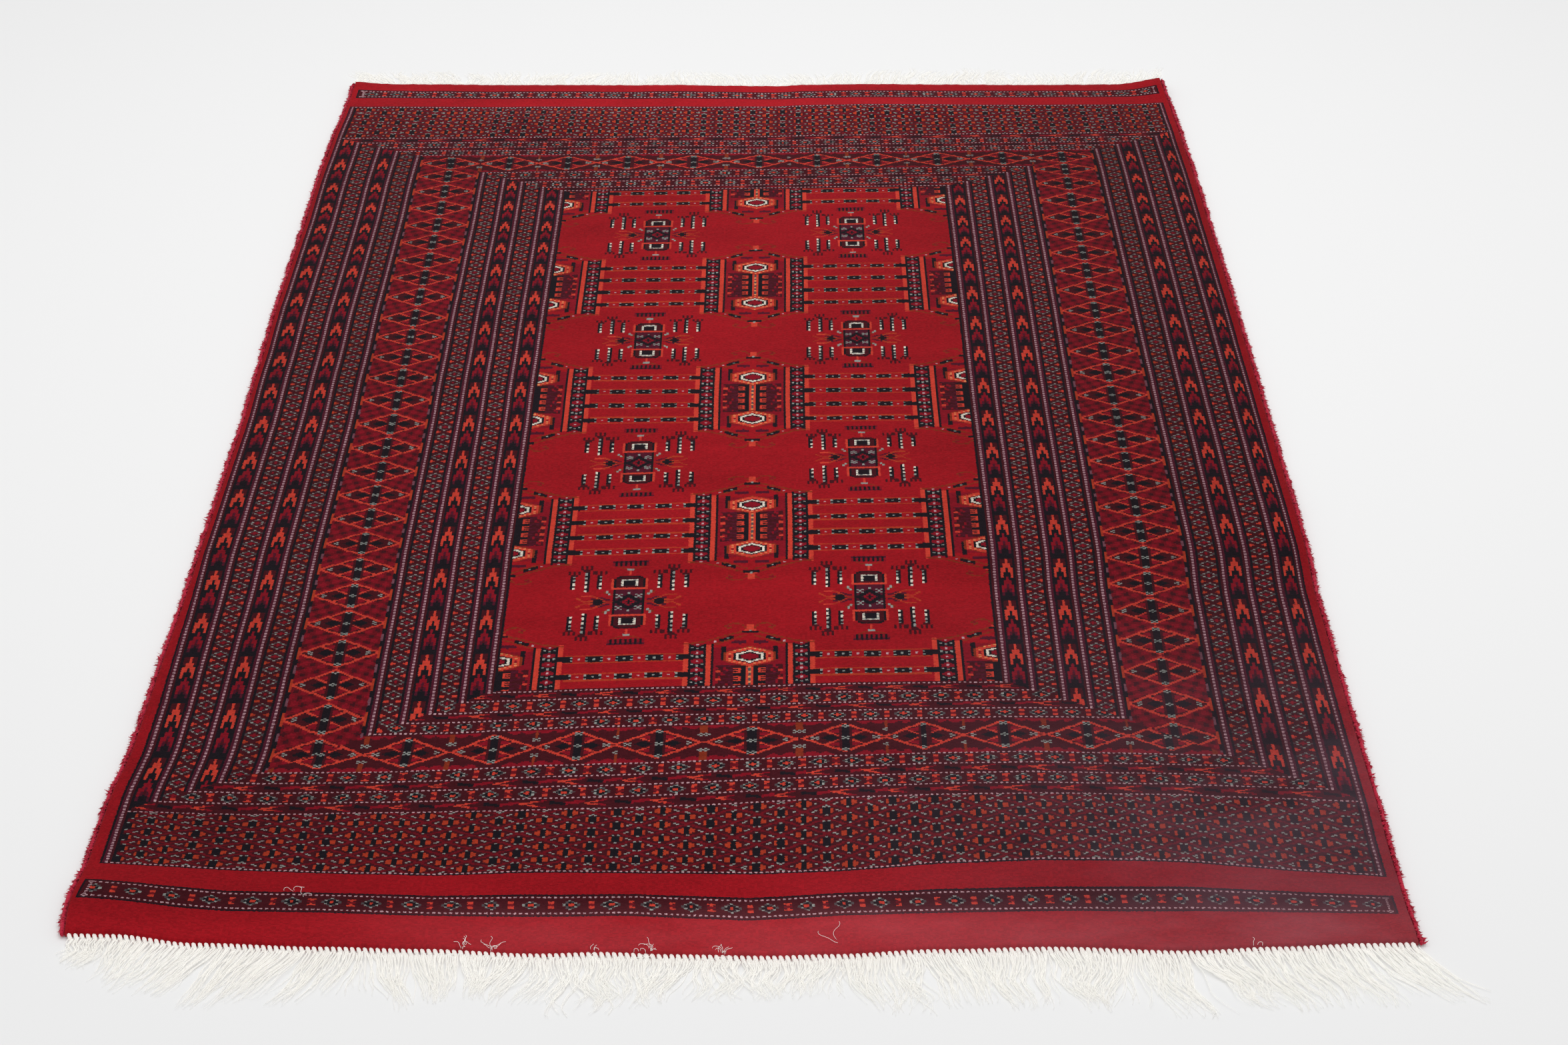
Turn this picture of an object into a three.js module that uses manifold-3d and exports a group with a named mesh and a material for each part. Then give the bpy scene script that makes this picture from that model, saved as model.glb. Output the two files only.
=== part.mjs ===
// A hand-knotted wool rug laid flat on a floor.
// Lengths are in millimetres, +Z is up and the near end of the rug is at -Y.
// The origin is on the floor under the middle of the pile.

import * as THREE from 'three';
import { mergeVertices } from 'three/addons/utils/BufferGeometryUtils.js';
import Module from 'manifold-3d';

const wasm = await Module();
wasm.setup();

// Driving dimensions
const rugWidth = 1300;
const rugLength = 1820;
const clothThickness = 9;
const shoulderDrop = 3;
const shoulderInset = 2.5;
const sideCordWidth = 5;
const sideCordHeight = 6.5;
const pieceGap = 0.3;
const headingDepth = 3.4;
const headingHeight = 3.2;
const locksPerEnd = 112;
const endLockInset = 2;
const lockRootSink = 2.2;
const lockRootLift = 0.5;

// Grid of the knotted cloth
const cellsAcross = 20;
const cellsAlong = 40;
const cordSides = 8;

const halfWidth = rugWidth / 2;
const halfLength = rugLength / 2;
const clothSideInset = sideCordWidth + pieceGap;

// Side edges as the rug lies: how far each one stands out from the straight line at halfWidth
const sideEdges = [
  { along: -910, left: 2, right: 0 },
  { along: -860, left: 7, right: -1 },
  { along: -800, left: 3, right: 1 },
  { along: -720, left: 3, right: 4 },
  { along: -640, left: -3, right: 5 },
  { along: -500, left: -3, right: 6 },
  { along: -400, left: -4, right: 9 },
  { along: -300, left: -3, right: 14 },
  { along: -60, left: -2, right: 16 },
  { along: 80, left: 2, right: 17 },
  { along: 240, left: 6, right: 18 },
  { along: 440, left: 7, right: 18 },
  { along: 600, left: 10, right: 18 },
  { along: 720, left: 9, right: 16 },
  { along: 820, left: 6, right: 14 },
  { along: 910, left: 4, right: 8 },
];

// End edges as the rug lies: how far each one stands out from the straight line at halfLength
const endEdges = [
  { across: -650, near: -3, far: 1 },
  { across: -600, near: -2, far: 0 },
  { across: -520, near: 9, far: -1 },
  { across: -400, near: 12, far: -4 },
  { across: -300, near: 14, far: -4 },
  { across: -190, near: 18, far: -5 },
  { across: -130, near: 15, far: -4 },
  { across: -60, near: 18, far: -7 },
  { across: 30, near: 19, far: -9 },
  { across: 90, near: 16, far: -4 },
  { across: 190, near: 10, far: -2 },
  { across: 300, near: 6, far: -4 },
  { across: 430, near: 10, far: -6 },
  { across: 520, near: 4, far: -5 },
  { across: 600, near: -1, far: -4 },
  { across: 650, near: -2, far: 2 },
];

// Soft swells where the cloth doesn't touch the floor, and the far corners that curl up
const swells = [
  { name: 'far right corner', x: 668, y: 912, reachX: 95, reachY: 85, height: 9 },
  { name: 'far left corner', x: -656, y: 912, reachX: 70, reachY: 60, height: 4 },
  { name: 'near left corner', x: -620, y: -850, reachX: 90, reachY: 55, height: 3 },
  { name: 'near end, right of the middle', x: 350, y: -790, reachX: 220, reachY: 90, height: 4 },
  { name: 'far end, crease across', x: 190, y: 815, reachX: 330, reachY: 40, height: 3 },
  { name: 'far end, left', x: -330, y: 770, reachX: 180, reachY: 70, height: 3 },
  { name: 'right side', x: 640, y: -240, reachX: 70, reachY: 120, height: 3 },
];

// How the near fringe lies: sideways lean of a lock's tip and its reach out from the edge
const nearLay = [
  { across: -650, lean: -14, reach: 46 },
  { across: -600, lean: -22, reach: 60 },
  { across: -540, lean: -36, reach: 80 },
  { across: -470, lean: -44, reach: 82 },
  { across: -400, lean: -30, reach: 80 },
  { across: -366, lean: -12, reach: 68 },
  { across: -350, lean: 22, reach: 68 },
  { across: -310, lean: 16, reach: 84 },
  { across: -215, lean: -18, reach: 64 },
  { across: -170, lean: -6, reach: 78 },
  { across: -90, lean: 2, reach: 80 },
  { across: -20, lean: -4, reach: 62 },
  { across: 85, lean: -18, reach: 60 },
  { across: 104, lean: 12, reach: 62 },
  { across: 141, lean: 2, reach: 80 },
  { across: 250, lean: 14, reach: 84 },
  { across: 300, lean: 4, reach: 88 },
  { across: 370, lean: -14, reach: 84 },
  { across: 390, lean: 20, reach: 84 },
  { across: 440, lean: 34, reach: 86 },
  { across: 500, lean: 26, reach: 84 },
  { across: 560, lean: 34, reach: 84 },
  { across: 610, lean: 34, reach: 76 },
  { across: 650, lean: 52, reach: 78 },
];

// How the far fringe lies, mostly hidden behind the pile: a calmer comb of locks
const farLay = [
  { across: -650, lean: -12, reach: 66 },
  { across: -560, lean: -20, reach: 76 },
  { across: -420, lean: -6, reach: 72 },
  { across: -300, lean: 12, reach: 80 },
  { across: -180, lean: 4, reach: 70 },
  { across: -60, lean: -14, reach: 78 },
  { across: 80, lean: -4, reach: 72 },
  { across: 200, lean: 14, reach: 80 },
  { across: 340, lean: 20, reach: 84 },
  { across: 460, lean: 6, reach: 74 },
  { across: 560, lean: 16, reach: 80 },
  { across: 650, lean: 22, reach: 78 },
];

// Sections of one lock from its root in the heading, through its knot, to its tip on the floor
const lockSections = [
  { at: 0, width: 5.0, height: 2.4 },
  { at: 0.1, width: 6.4, height: 5.0 },
  { at: 0.3, width: 4.4, height: 2.8 },
  { at: 0.65, width: 4.0, height: 2.2 },
  { at: 1, width: 2.0, height: 1.2 },
];
const knotEnd = 0.2;
const levelFrom = 0.3;
const leanPower = 1.3;

// Small differences from lock to lock, as waves along the row of locks
const leanStray = { size: 1.6, rate: 2.4 };
const reachStray = { size: 0.05, rate: 1.7 };
const swayStray = { size: 1.5, rate: 3.1 };

// Value of one column of a table at a place between its rows, with a smooth change from row to row
function readTable(rows, key, column, place) {
  const last = rows.length - 1;
  if (place <= rows[0][key]) return rows[0][column];
  if (place >= rows[last][key]) return rows[last][column];
  const next = rows.findIndex((row) => row[key] > place);
  const before = rows[next - 1];
  const after = rows[next];
  const share = THREE.MathUtils.smoothstep(place, before[key], after[key]);
  return THREE.MathUtils.lerp(before[column], after[column], share);
}

function strayAt(stray, lock) {
  return stray.size * Math.sin(stray.rate * lock);
}

// Height of the cloth's underside over the floor
function liftAt(x, y) {
  let lift = 0;
  for (const swell of swells) {
    const distance = Math.hypot((x - swell.x) / swell.reachX, (y - swell.y) / swell.reachY);
    if (distance < 1) lift += swell.height * Math.cos(distance * Math.PI / 2) ** 2;
  }
  return lift;
}

// Place on the floor of a point of the rug: across and along run from -1 to 1 between its edges
function placeOnRug(across, along) {
  const straightY = along * halfLength;
  const left = -halfWidth - readTable(sideEdges, 'along', 'left', straightY) + clothSideInset;
  const right = halfWidth + readTable(sideEdges, 'along', 'right', straightY) - clothSideInset;
  const x = THREE.MathUtils.lerp(left, right, (across + 1) / 2);
  const near = -halfLength - readTable(endEdges, 'across', 'near', x);
  const far = halfLength + readTable(endEdges, 'across', 'far', x);
  const y = THREE.MathUtils.lerp(near, far, (along + 1) / 2);
  return { x, y };
}

// Moves every vertex of a closed geometry to the place that a function gives
function reshape(geometry, placeVertex) {
  geometry.deleteAttribute('normal');
  geometry.deleteAttribute('uv');
  const merged = mergeVertices(geometry, 1e-4);
  const position = merged.attributes.position;
  const point = new THREE.Vector3();
  for (let i = 0; i < position.count; i += 1) {
    point.fromBufferAttribute(position, i);
    const placed = placeVertex(point);
    position.setXYZ(i, placed.x, placed.y, placed.z);
  }
  return merged;
}

function material(colour, roughness) {
  return new THREE.MeshStandardMaterial({ color: colour, roughness, metalness: 0 });
}

function namedMesh(name, geometry, finish) {
  geometry.computeVertexNormals();
  const mesh = new THREE.Mesh(geometry, finish);
  mesh.name = name;
  return mesh;
}

// The knotted cloth: foundation and pile in one, with its rim rounded over where the pile is sheared
function makeCarpet() {
  const box = new THREE.BoxGeometry(2, 2, 2, cellsAcross, cellsAlong, 2);
  const geometry = reshape(box, (point) => {
    const onTop = point.z > 0.5;
    const inset = onTop ? shoulderInset : 0;
    const across = point.x * (1 - inset / halfWidth);
    const along = point.y * (1 - inset / halfLength);
    const place = placeOnRug(across, along);
    const heights = [0, clothThickness - shoulderDrop, clothThickness];
    const level = heights[Math.round(point.z) + 1];
    return { x: place.x, y: place.y, z: liftAt(place.x, place.y) + level };
  });
  return namedMesh('carpet', geometry, material(0x8e1a24, 0.95));
}

// The cord overcast with wool along one side, which runs the length of the cloth
function makeSelvedge(name, side) {
  const rod = new THREE.CylinderGeometry(1, 1, 2, cordSides, cellsAlong);
  const sideMiddle = sideCordWidth / 2 + pieceGap;
  const geometry = reshape(rod, (point) => {
    const edge = placeOnRug(side, point.y);
    const lift = liftAt(edge.x, edge.y);
    return {
      x: edge.x + side * sideMiddle + point.x * sideCordWidth / 2,
      y: edge.y,
      z: lift + (1 + point.z) * sideCordHeight / 2,
    };
  });
  return namedMesh(name, geometry, material(0xa31c2b, 0.9));
}

// Place of a point of one end: across the rug, and out from the straight runs of the cloth's edge
function placeAtEnd(end, across, out) {
  const cell = Math.min(cellsAcross - 1, Math.floor((across + 1) / 2 * cellsAcross));
  const corners = [cell, cell + 1].map((step) => placeOnRug(step / cellsAcross * 2 - 1, end));
  const share = (across + 1) / 2 * cellsAcross - cell;
  const lifts = corners.map((corner) => liftAt(corner.x, corner.y));
  return {
    x: THREE.MathUtils.lerp(corners[0].x, corners[1].x, share),
    y: THREE.MathUtils.lerp(corners[0].y, corners[1].y, share) + end * out,
    lift: THREE.MathUtils.lerp(lifts[0], lifts[1], share),
  };
}

// The narrow woven heading that the locks hang from
function makeHeading(end) {
  const strip = new THREE.BoxGeometry(2, 1, 1, cellsAcross, 1, 1);
  return reshape(strip, (point) => {
    const out = pieceGap + headingDepth * (0.5 + end * point.y);
    const place = placeAtEnd(end, point.x, out);
    return { x: place.x, y: place.y, z: place.lift + headingHeight * (point.z + 0.5) };
  });
}

// One three-sided lock: it leaves the heading at a knot, comes down to the floor and lies level on it
function makeLock(end, across, lay, number) {
  const triangle = new THREE.Shape([
    new THREE.Vector2(-0.5, 0),
    new THREE.Vector2(0.5, 0),
    new THREE.Vector2(0, 1),
  ]);
  const steps = lockSections.length - 1;
  const prism = new THREE.ExtrudeGeometry(triangle, { depth: steps, steps, bevelEnabled: false });
  const rootOut = pieceGap + headingDepth - lockRootSink;
  const root = placeAtEnd(end, across, 0);
  const lean = readTable(lay, 'across', 'lean', root.x) + strayAt(leanStray, number);
  const reach = readTable(lay, 'across', 'reach', root.x) * (1 + strayAt(reachStray, number));
  const sway = strayAt(swayStray, number);
  return reshape(prism, (point) => {
    const section = lockSections[Math.round(point.z)];
    const free = section.at > knotEnd;
    const bend = lean * section.at ** leanPower + sway * Math.sin(section.at * Math.PI);
    const sideways = free ? bend : 0;
    const hanging = Math.max(0, 1 - section.at / levelFrom);
    const base = section.at === 0 ? root.lift + lockRootLift : root.lift * hanging;
    return {
      x: root.x + sideways - end * point.x * section.width,
      y: root.y + end * (rootOut + section.at * reach),
      z: base + point.y * section.height,
    };
  });
}

function toSolid(geometry) {
  const vertProperties = new Float32Array(geometry.attributes.position.array);
  const triVerts = new Uint32Array(geometry.index.array);
  return new wasm.Manifold(new wasm.Mesh({ numProp: 3, vertProperties, triVerts }));
}

function fromSolid(solid) {
  const mesh = solid.getMesh();
  const geometry = new THREE.BufferGeometry();
  geometry.setAttribute('position', new THREE.BufferAttribute(mesh.vertProperties, 3));
  geometry.setIndex(new THREE.BufferAttribute(mesh.triVerts, 1));
  return geometry;
}

// The fringe of one end: a comb of locks fused at their roots into the heading
function makeFringe(name, end, lay) {
  const pieces = [toSolid(makeHeading(end))];
  for (let i = 0; i < locksPerEnd; i += 1) {
    const across = ((i + 0.5) / locksPerEnd * 2 - 1) * (1 - endLockInset / halfWidth);
    pieces.push(toSolid(makeLock(end, across, lay, i)));
  }
  const comb = wasm.Manifold.union(pieces);
  return namedMesh(name, fromSolid(comb), material(0xece8df, 0.9));
}

const rug = new THREE.Group();
rug.add(makeCarpet());
rug.add(makeSelvedge('selvedge_left', -1));
rug.add(makeSelvedge('selvedge_right', 1));
rug.add(makeFringe('fringe_near', -1, nearLay));
rug.add(makeFringe('fringe_far', 1, farLay));

export default rug;
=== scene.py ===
# %% [markdown]
# # A hand-knotted wool rug
# The rug is one flat cloth: a cotton foundation with rows of wool knots, cut to an even pile. Two
# cords overcast in red wool close its long sides, and the warp ends are tied off as a cotton
# fringe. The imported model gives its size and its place, so it is loaded first and its box is kept.

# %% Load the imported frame
import math

import bpy
import numpy as np
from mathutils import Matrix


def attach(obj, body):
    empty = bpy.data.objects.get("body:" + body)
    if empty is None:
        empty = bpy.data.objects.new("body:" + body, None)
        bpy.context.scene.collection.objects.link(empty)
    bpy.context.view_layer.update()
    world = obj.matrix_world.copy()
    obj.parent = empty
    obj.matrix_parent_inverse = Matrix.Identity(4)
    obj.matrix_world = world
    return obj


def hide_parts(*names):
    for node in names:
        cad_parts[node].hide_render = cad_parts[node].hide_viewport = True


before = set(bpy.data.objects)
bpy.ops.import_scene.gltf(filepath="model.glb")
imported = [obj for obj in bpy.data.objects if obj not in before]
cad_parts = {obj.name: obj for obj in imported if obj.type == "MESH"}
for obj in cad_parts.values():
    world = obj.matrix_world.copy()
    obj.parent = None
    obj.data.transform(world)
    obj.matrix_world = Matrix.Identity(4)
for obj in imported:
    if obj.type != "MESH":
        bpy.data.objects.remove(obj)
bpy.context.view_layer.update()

print("packed nodes", sorted(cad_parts))

# %% [markdown]
# ## Ground plan
# The rug lies as a real one does: its sides bow, its ends waver and its corners lift. The tables
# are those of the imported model, so that every piece drawn here stays on the solid that it stands
# for. Only the near end is drawn a few millimetres closer to the photograph. They are written in
# millimetres, as a rug is measured.

# %% Edges and swells of the cloth, in millimetres
HALF_WIDTH, HALF_LENGTH = 650.0, 910.0
PILE_TOP = 9.0
CORD_WIDTH, CORD_HEIGHT, PIECE_GAP = 5.0, 6.5, 0.3
SIDE_INSET = CORD_WIDTH + PIECE_GAP

side_edges = np.array([  # along the rug, left edge out, right edge out
    (-910, 2, 7), (-860, 7, 5), (-800, 3, 5), (-720, 3, 7), (-640, -3, 7), (-500, -3, 8),
    (-400, -4, 9), (-300, -3, 14), (-60, -2, 16), (80, 2, 17), (240, 6, 18), (440, 7, 18),
    (600, 10, 18), (720, 9, 16), (820, 6, 14), (910, 4, 8)], float)
end_edges = np.array([  # across the rug, near edge out, far edge out
    (-650, -11, 1), (-600, -10, 0), (-520, 1, -1), (-400, 6, -4), (-300, 9, -4), (-190, 15, -5),
    (-130, 13, -4), (-60, 16, -7), (30, 18, -9), (90, 16, -4), (190, 10, -2), (300, 7, -4),
    (430, 12, -6), (520, 7, -5), (600, 3, -4), (650, 2, 2)], float)
swells = [  # x, y, reach across, reach along, height
    (668, 912, 95, 85, 9), (-656, 912, 70, 60, 4), (-620, -850, 90, 55, 3),
    (350, -790, 220, 90, 4), (190, 815, 330, 40, 3), (-330, 770, 180, 70, 3),
    (640, -240, 70, 120, 3)]


def read_table(table, column, place):
    """Smooth value of one column of a table whose first column holds the places."""
    keys = table[:, 0]
    place = np.clip(np.asarray(place, float), keys[0], keys[-1])
    after = np.clip(np.searchsorted(keys, place, side="right"), 1, len(keys) - 1)
    share = (place - keys[after - 1]) / (keys[after] - keys[after - 1])
    share = share * share * (3 - 2 * share)
    values = table[:, column]
    return values[after - 1] * (1 - share) + values[after] * share


def lift_at(x, y):
    """Height of the cloth's underside over the floor."""
    lift = np.zeros(np.broadcast(x, y).shape)
    for sx, sy, reach_x, reach_y, height in swells:
        far = np.hypot((x - sx) / reach_x, (y - sy) / reach_y)
        lift = lift + np.where(far < 1, height * np.cos(np.minimum(far, 1) * math.pi / 2) ** 2, 0)
    return lift


def left_edge(y):
    return -HALF_WIDTH - read_table(side_edges, 1, y) + SIDE_INSET


def right_edge(y):
    return HALF_WIDTH + read_table(side_edges, 2, y) - SIDE_INSET


def near_edge(x):
    return -HALF_LENGTH - read_table(end_edges, 1, x)


def far_edge(x):
    return HALF_LENGTH + read_table(end_edges, 2, x)


print("cloth from", left_edge(0.0), "to", right_edge(0.0), "mm across its middle")

# %% [markdown]
# ## Rows of knots
# A rug of this make has about 36 knots in 10 cm across and 60 rows in 10 cm along, so the pile is a
# chart of 471 by 1115 knots. The weaver's rows aren't straight: near this end they sag to the left
# and rise to the right. A few rows were followed across the rug, and the others lie between.

# %% From a knot's number to its place on the floor
COLUMNS_HALF, ROWS_HALF = 235, 557
KNOT_WIDE, KNOT_TALL = 2.77, 1.645
ROW_ZERO = -12.0

share_columns = [0, 107, 129, 165, 201, 223, 228, 235.5]  # and their shares of the half width
left_shares = [0, 0.4566, 0.5512, 0.705, 0.8604, 0.955, 0.983, 1]
right_shares = [0, 0.4566, 0.5512, 0.705, 0.8604, 0.959, 0.9754, 1]
middle_line = np.array([  # along the rug, where the middle column lies
    (-929, 11), (-541, 12), (-263, 12), (7, 9), (286, 10), (905, 9)], float)
stations = np.array([-640, -500, -400, -300, -200, -100, 10, 100, 200, 300, 450, 640], float)
field_sag = np.array([-24, -21, -18, -15, -10, -4, 0, 5, 8, 10, 12, 14], float)
row_sags = [  # along the rug at the middle, and how far each station lies above that
    (-872, [23, 8, 7, 3, 4, 6, 0, 9, 13, 16, 19, 13]),
    (-824, [9, 1, -3, -5, 1, 0, 0, 5, 16, 20, 19, 3]),
    (-725, [-18, -22, -19, -16, -12, -8, 0, 8, 14, 17, 16, 8]),
    (-636, [-20, -26, -25, -20, -11, -6, 0, 5, 10, 13, 10, 6]),
    (-548, field_sag * 0.88),
    (-480, field_sag * 0.76),
    (-400, field_sag * 0.75),
    (-335, field_sag * 0.68),
    (-260, [-16, -14.5, -13.5, -12.5, -8.5, -3.5, 0, 4.5, 7, 8, 8.5, 9]),
    (-190, [-15, -13.5, -12.5, -12, -8.5, -4, 0, 4.5, 7, 7.5, 8, 9]),
    (-130, [-12, -12, -11, -11, -8.5, -4, 0, 5, 7, 7.5, 7, 7])]
fading_sags = [(-45, 0.27), (7, 0.15), (110, 0.15), (180, 0.23), (290, 0.16), (400, 0.21),
               (500, 0.19), (563, 0.19), (610, 0.07), (650, 0.0)]
row_sags += [(y, field_sag * share) for y, share in fading_sags]
sag_rows = np.array([y for y, _ in row_sags], float)
sag_table = np.array([sags for _, sags in row_sags], float)


def row_line(row):
    return ROW_ZERO + KNOT_TALL * np.asarray(row, float)


def row_at(y):
    """Number of the row that crosses the middle column at y."""
    return (y - ROW_ZERO) / KNOT_TALL


ROW_NEAR, ROW_FAR = row_line(-ROWS_HALF - 0.5), row_line(ROWS_HALF + 0.5)


def smooth_between(x, xs, values):
    """Value between stations, eased so that a row bends without corners."""
    after = np.clip(np.searchsorted(xs, x, side="right"), 1, len(xs) - 1)
    share = np.clip((x - xs[after - 1]) / (xs[after] - xs[after - 1]), 0, 1)
    return values[..., after - 1] * (1 - share) + values[..., after] * share


def sag_at(x, line):
    """How far a row lies from its height at the middle, at a place across the rug."""
    across = np.array([smooth_between(x, stations, values) for values in sag_table])
    ends_near = near_edge(x) - ROW_NEAR
    ends_far = far_edge(x) - ROW_FAR
    levels = np.concatenate([[ROW_NEAR], sag_rows, [ROW_FAR]])
    table = np.concatenate([[ends_near], across, [ends_far]])
    after = np.clip(np.searchsorted(levels, line, side="right"), 1, len(levels) - 1)
    share = np.clip((line - levels[after - 1]) / (levels[after] - levels[after - 1]), 0, 1)
    low = np.take_along_axis(table, after[None, :] - 1, axis=0)[0]
    high = np.take_along_axis(table, after[None, :], axis=0)[0]
    return low * (1 - share) + high * share


# %% Leans of the rows and strays of the columns
LEAN_REACH = 470.0  # from the middle to where the leans were read
STRAYS_CHANGE = (-560.0, -300.0)  # where the near end's strays give way to the far end's
STRAYS_BEGIN = (-905.0, -850.0)  # the knots of the edge itself don't stray

leans = np.array([  # along the rug, then how far up rows lie on the left and on the right
    (-929, 0, 0), (-872, 4, -6), (-800, 5, -6), (-640, 4, -5), (-480, 3, -2), (-300, 1.5, 1),
    (-100, 0, 2), (100, -2.5, 5), (300, -4, 8), (480, -7, 8), (640, -7.5, 11), (740, -5, 9),
    (905, 0, 0)], float)
stray_columns = [-235.5, -228, -223, -201, -165, -129, -107, -75, 0,
                 75, 107, 129, 147, 183, 201, 223, 235.5]
near_strays = [0, 8, 5, 2, 3, 0, -2, -3, -5, -6, -3, -3, -4, -3, -3, -1, 0]
far_strays = [0, -2, -3, -2, -2, -5, -7, -7, -5, -7, -3, -2, -2, 2, 3, 2, 0]


def lean_at(x, line):
    """How far up a row lies for its lean, at a place across the rug."""
    left, right = (np.interp(line, leans[:, 0], leans[:, i]) for i in (1, 2))
    return np.where(x < 0, -left, right) * x / LEAN_REACH


def stray_at(column, line):
    """How far to the right a column lies from its even place."""
    near, far = (np.interp(column, stray_columns, strays) for strays in (near_strays, far_strays))
    share = np.interp(line, STRAYS_CHANGE, [0, 1])
    return (near * (1 - share) + far * share) * np.interp(line, STRAYS_BEGIN, [0, 1])


def place_knot(column, row, as_it_lies=True):
    """Place on the floor, in millimetres, of the knots at flat lists of columns and rows."""
    column, row = np.asarray(column, float), np.asarray(row, float)
    line = row_line(row)
    x = column * KNOT_WIDE + 10  # a first guess, since the middle column lies about there
    for _ in range(3):  # a row's sag depends on x, and x on the sides at that height
        y = line + sag_at(x, line) + (lean_at(x, line) if as_it_lies else 0)
        middle = np.interp(line, middle_line[:, 0], middle_line[:, 1])
        share = np.where(column < 0, np.interp(-column, share_columns, left_shares),
                         np.interp(column, share_columns, right_shares))
        side = np.where(column < 0, left_edge(y), right_edge(y))
        x = middle + (side - middle) * share
        if as_it_lies:
            x = x + stray_at(column, line)
    return x, y


corner_x, corner_y = place_knot([-235.5, 235.5, 235.5, -235.5], [-557.5, -557.5, 557.5, 557.5])
print("corners of the pile", corner_x.round(), corner_y.round())

# %% [markdown]
# ## The chart
# A weaver works from a chart with one small square for each knot. The same chart is drawn here by
# rules: bars, chevrons, diamonds and slanted lines in counts of knots, each yarn with its number.
# That is how the traditional Turkmen figures are handed down, and it needs no picture.

# %% Yarns and an empty chart
yarn_names = ["red", "maroon", "plum", "crimson", "orange", "black", "grey", "pink", "brown",
              "cream", "mauve", "wine", "slate", "apricot", "rust"]
(RED, MAROON, PLUM, CRIMSON, ORANGE, BLACK, GREY, PINK, BROWN,
 CREAM, MAUVE, WINE, SLATE, APRICOT, RUST) = range(len(yarn_names))
columns, rows = np.meshgrid(np.arange(-COLUMNS_HALF, COLUMNS_HALF + 1),
                            np.arange(-ROWS_HALF, ROWS_HALF + 1))
chequer = (columns + rows) % 2 == 0
chart = np.full(columns.shape, RED, np.int32)
print("knots in the chart", chart.size)


# %% Helpers that knot one figure
def figure(column, row, wide, tall, draw, inside, stretch):
    """Lets draw(patch, dx, dy) knot one figure, in knots counted from its middle."""
    low, high = int(row - tall * stretch), int(row + tall * stretch) + 1
    window = np.s_[low + ROWS_HALF:high + ROWS_HALF + 1,
                   column - wide + COLUMNS_HALF:column + wide + COLUMNS_HALF + 1]
    patch = chart[window]
    before = patch.copy()
    draw(patch, columns[window] - column, (rows[window] - row) / stretch)
    patch[~inside[window]] = before[~inside[window]]


def line(patch, dx, dy, points, yarn, thick=1.3):
    """Knots a slanted line through points, of a half thickness in millimetres."""
    for (xa, ya), (xb, yb) in zip(points, points[1:]):
        run_x, run_y = (xb - xa) * KNOT_WIDE, (yb - ya) * KNOT_TALL
        from_x, from_y = (dx - xa) * KNOT_WIDE, (dy - ya) * KNOT_TALL
        share = np.clip((from_x * run_x + from_y * run_y) / (run_x ** 2 + run_y ** 2), 0, 1)
        patch[np.hypot(from_x - share * run_x, from_y - share * run_y) <= thick] = yarn


# %% [markdown]
# ## Frames and borders
# Nested frames run round the field. On the sides a frame line is five knots wide with a pale
# dotted thread in the middle, and at the ends it is one dotted row, because a row is lower than a
# column is wide. Each band between two frames holds one small repeat.

# %% Depth of each knot in the nested frames
frame_columns = np.array([0, 102, 112, 124, 134, 146, 184, 196, 206, 218, 228, 236], float)
near_rows = np.array([0, 326, 334, 343.5, 351.5, 361, 395, 405, 414.5, 424, 433.5, 560], float)
far_rows = np.array([0, 349, 355, 365, 372.5, 383, 416, 424, 431, 440, 449, 560], float)
PANEL_NEAR, PANEL_FAR = -493, 509
PANEL_INNER_NEAR, PANEL_INNER_FAR = -434, 449
across_depth = np.abs(columns).astype(float)
along_depth = np.where(rows < 0, np.interp(-rows, near_rows, frame_columns),
                       np.interp(rows, far_rows, frame_columns))
depth = np.maximum(across_depth, along_depth)
on_side = across_depth >= along_depth
in_field = (across_depth < 99.5) & (along_depth < 101.4)
framed = (np.abs(columns) <= 230) & (rows >= PANEL_NEAR - 1) & (rows <= PANEL_FAR + 1)
chart[framed & ~in_field] = MAROON
chart[(depth > 148) & (depth < 182) & framed] = WINE
print("knots of the field", int(in_field.sum()))


# %% Where the repeats of the bands stand
all_columns = np.arange(-COLUMNS_HALF, COLUMNS_HALF + 1)
all_rows = np.arange(-ROWS_HALF, ROWS_HALF + 1)


def side_rows(places, column=165):
    """Rows whose two ends lie, on average, at places along the rug."""
    left, right = (place_knot(np.full(all_rows.shape, c), all_rows, False)[1]
                   for c in (-column, column))
    return np.interp(places, (left + right) / 2, all_rows)


def end_columns(places, row):
    """Columns that lie at places across the rug, in one row."""
    across = place_knot(all_columns, np.full(all_columns.shape, row), False)[0]
    return np.interp(places, across, all_columns)


def beyond(places, pitch):
    """The same places with one more at either end."""
    return np.concatenate([[places[0] - pitch], places, [places[-1] + pitch]])


def step_from(numbers, centres):
    """Signed step from the nearest centre, and the room that this centre has."""
    room = np.gradient(centres)
    nearest = np.searchsorted((centres[1:] + centres[:-1]) / 2, numbers)
    return numbers - centres[nearest], room[nearest]


arrow_tips = side_rows([  # along the rug, both sides alike
    -650, -563, -489, -413, -336, -254, -178, -102, -27, 47, 123, 197, 274, 349, 409, 470, 530,
    591, 663], 201)
side_lattice_centres = side_rows([
    -642, -589, -535, -483, -432, -383, -335, -286, -238, -191, -143, -95, -45, 7, 59, 109, 160,
    208, 262, 313, 362, 413, 463, 513, 563, 608, 648])
near_lattice_centres = end_columns([
    -444, -352, -259, -170, -84, 16, 115, 199, 282, 370, 456], -378)
far_lattice_centres = end_columns([
    -460, -367, -278, -185, -88, 12, 102, 193, 283, 380, 470], 400)
print("arrows", arrow_tips.round().astype(int))
print("side lattice", side_lattice_centres.round().astype(int))
print("end lattices", near_lattice_centres.round(1), far_lattice_centres.round(1))


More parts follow.
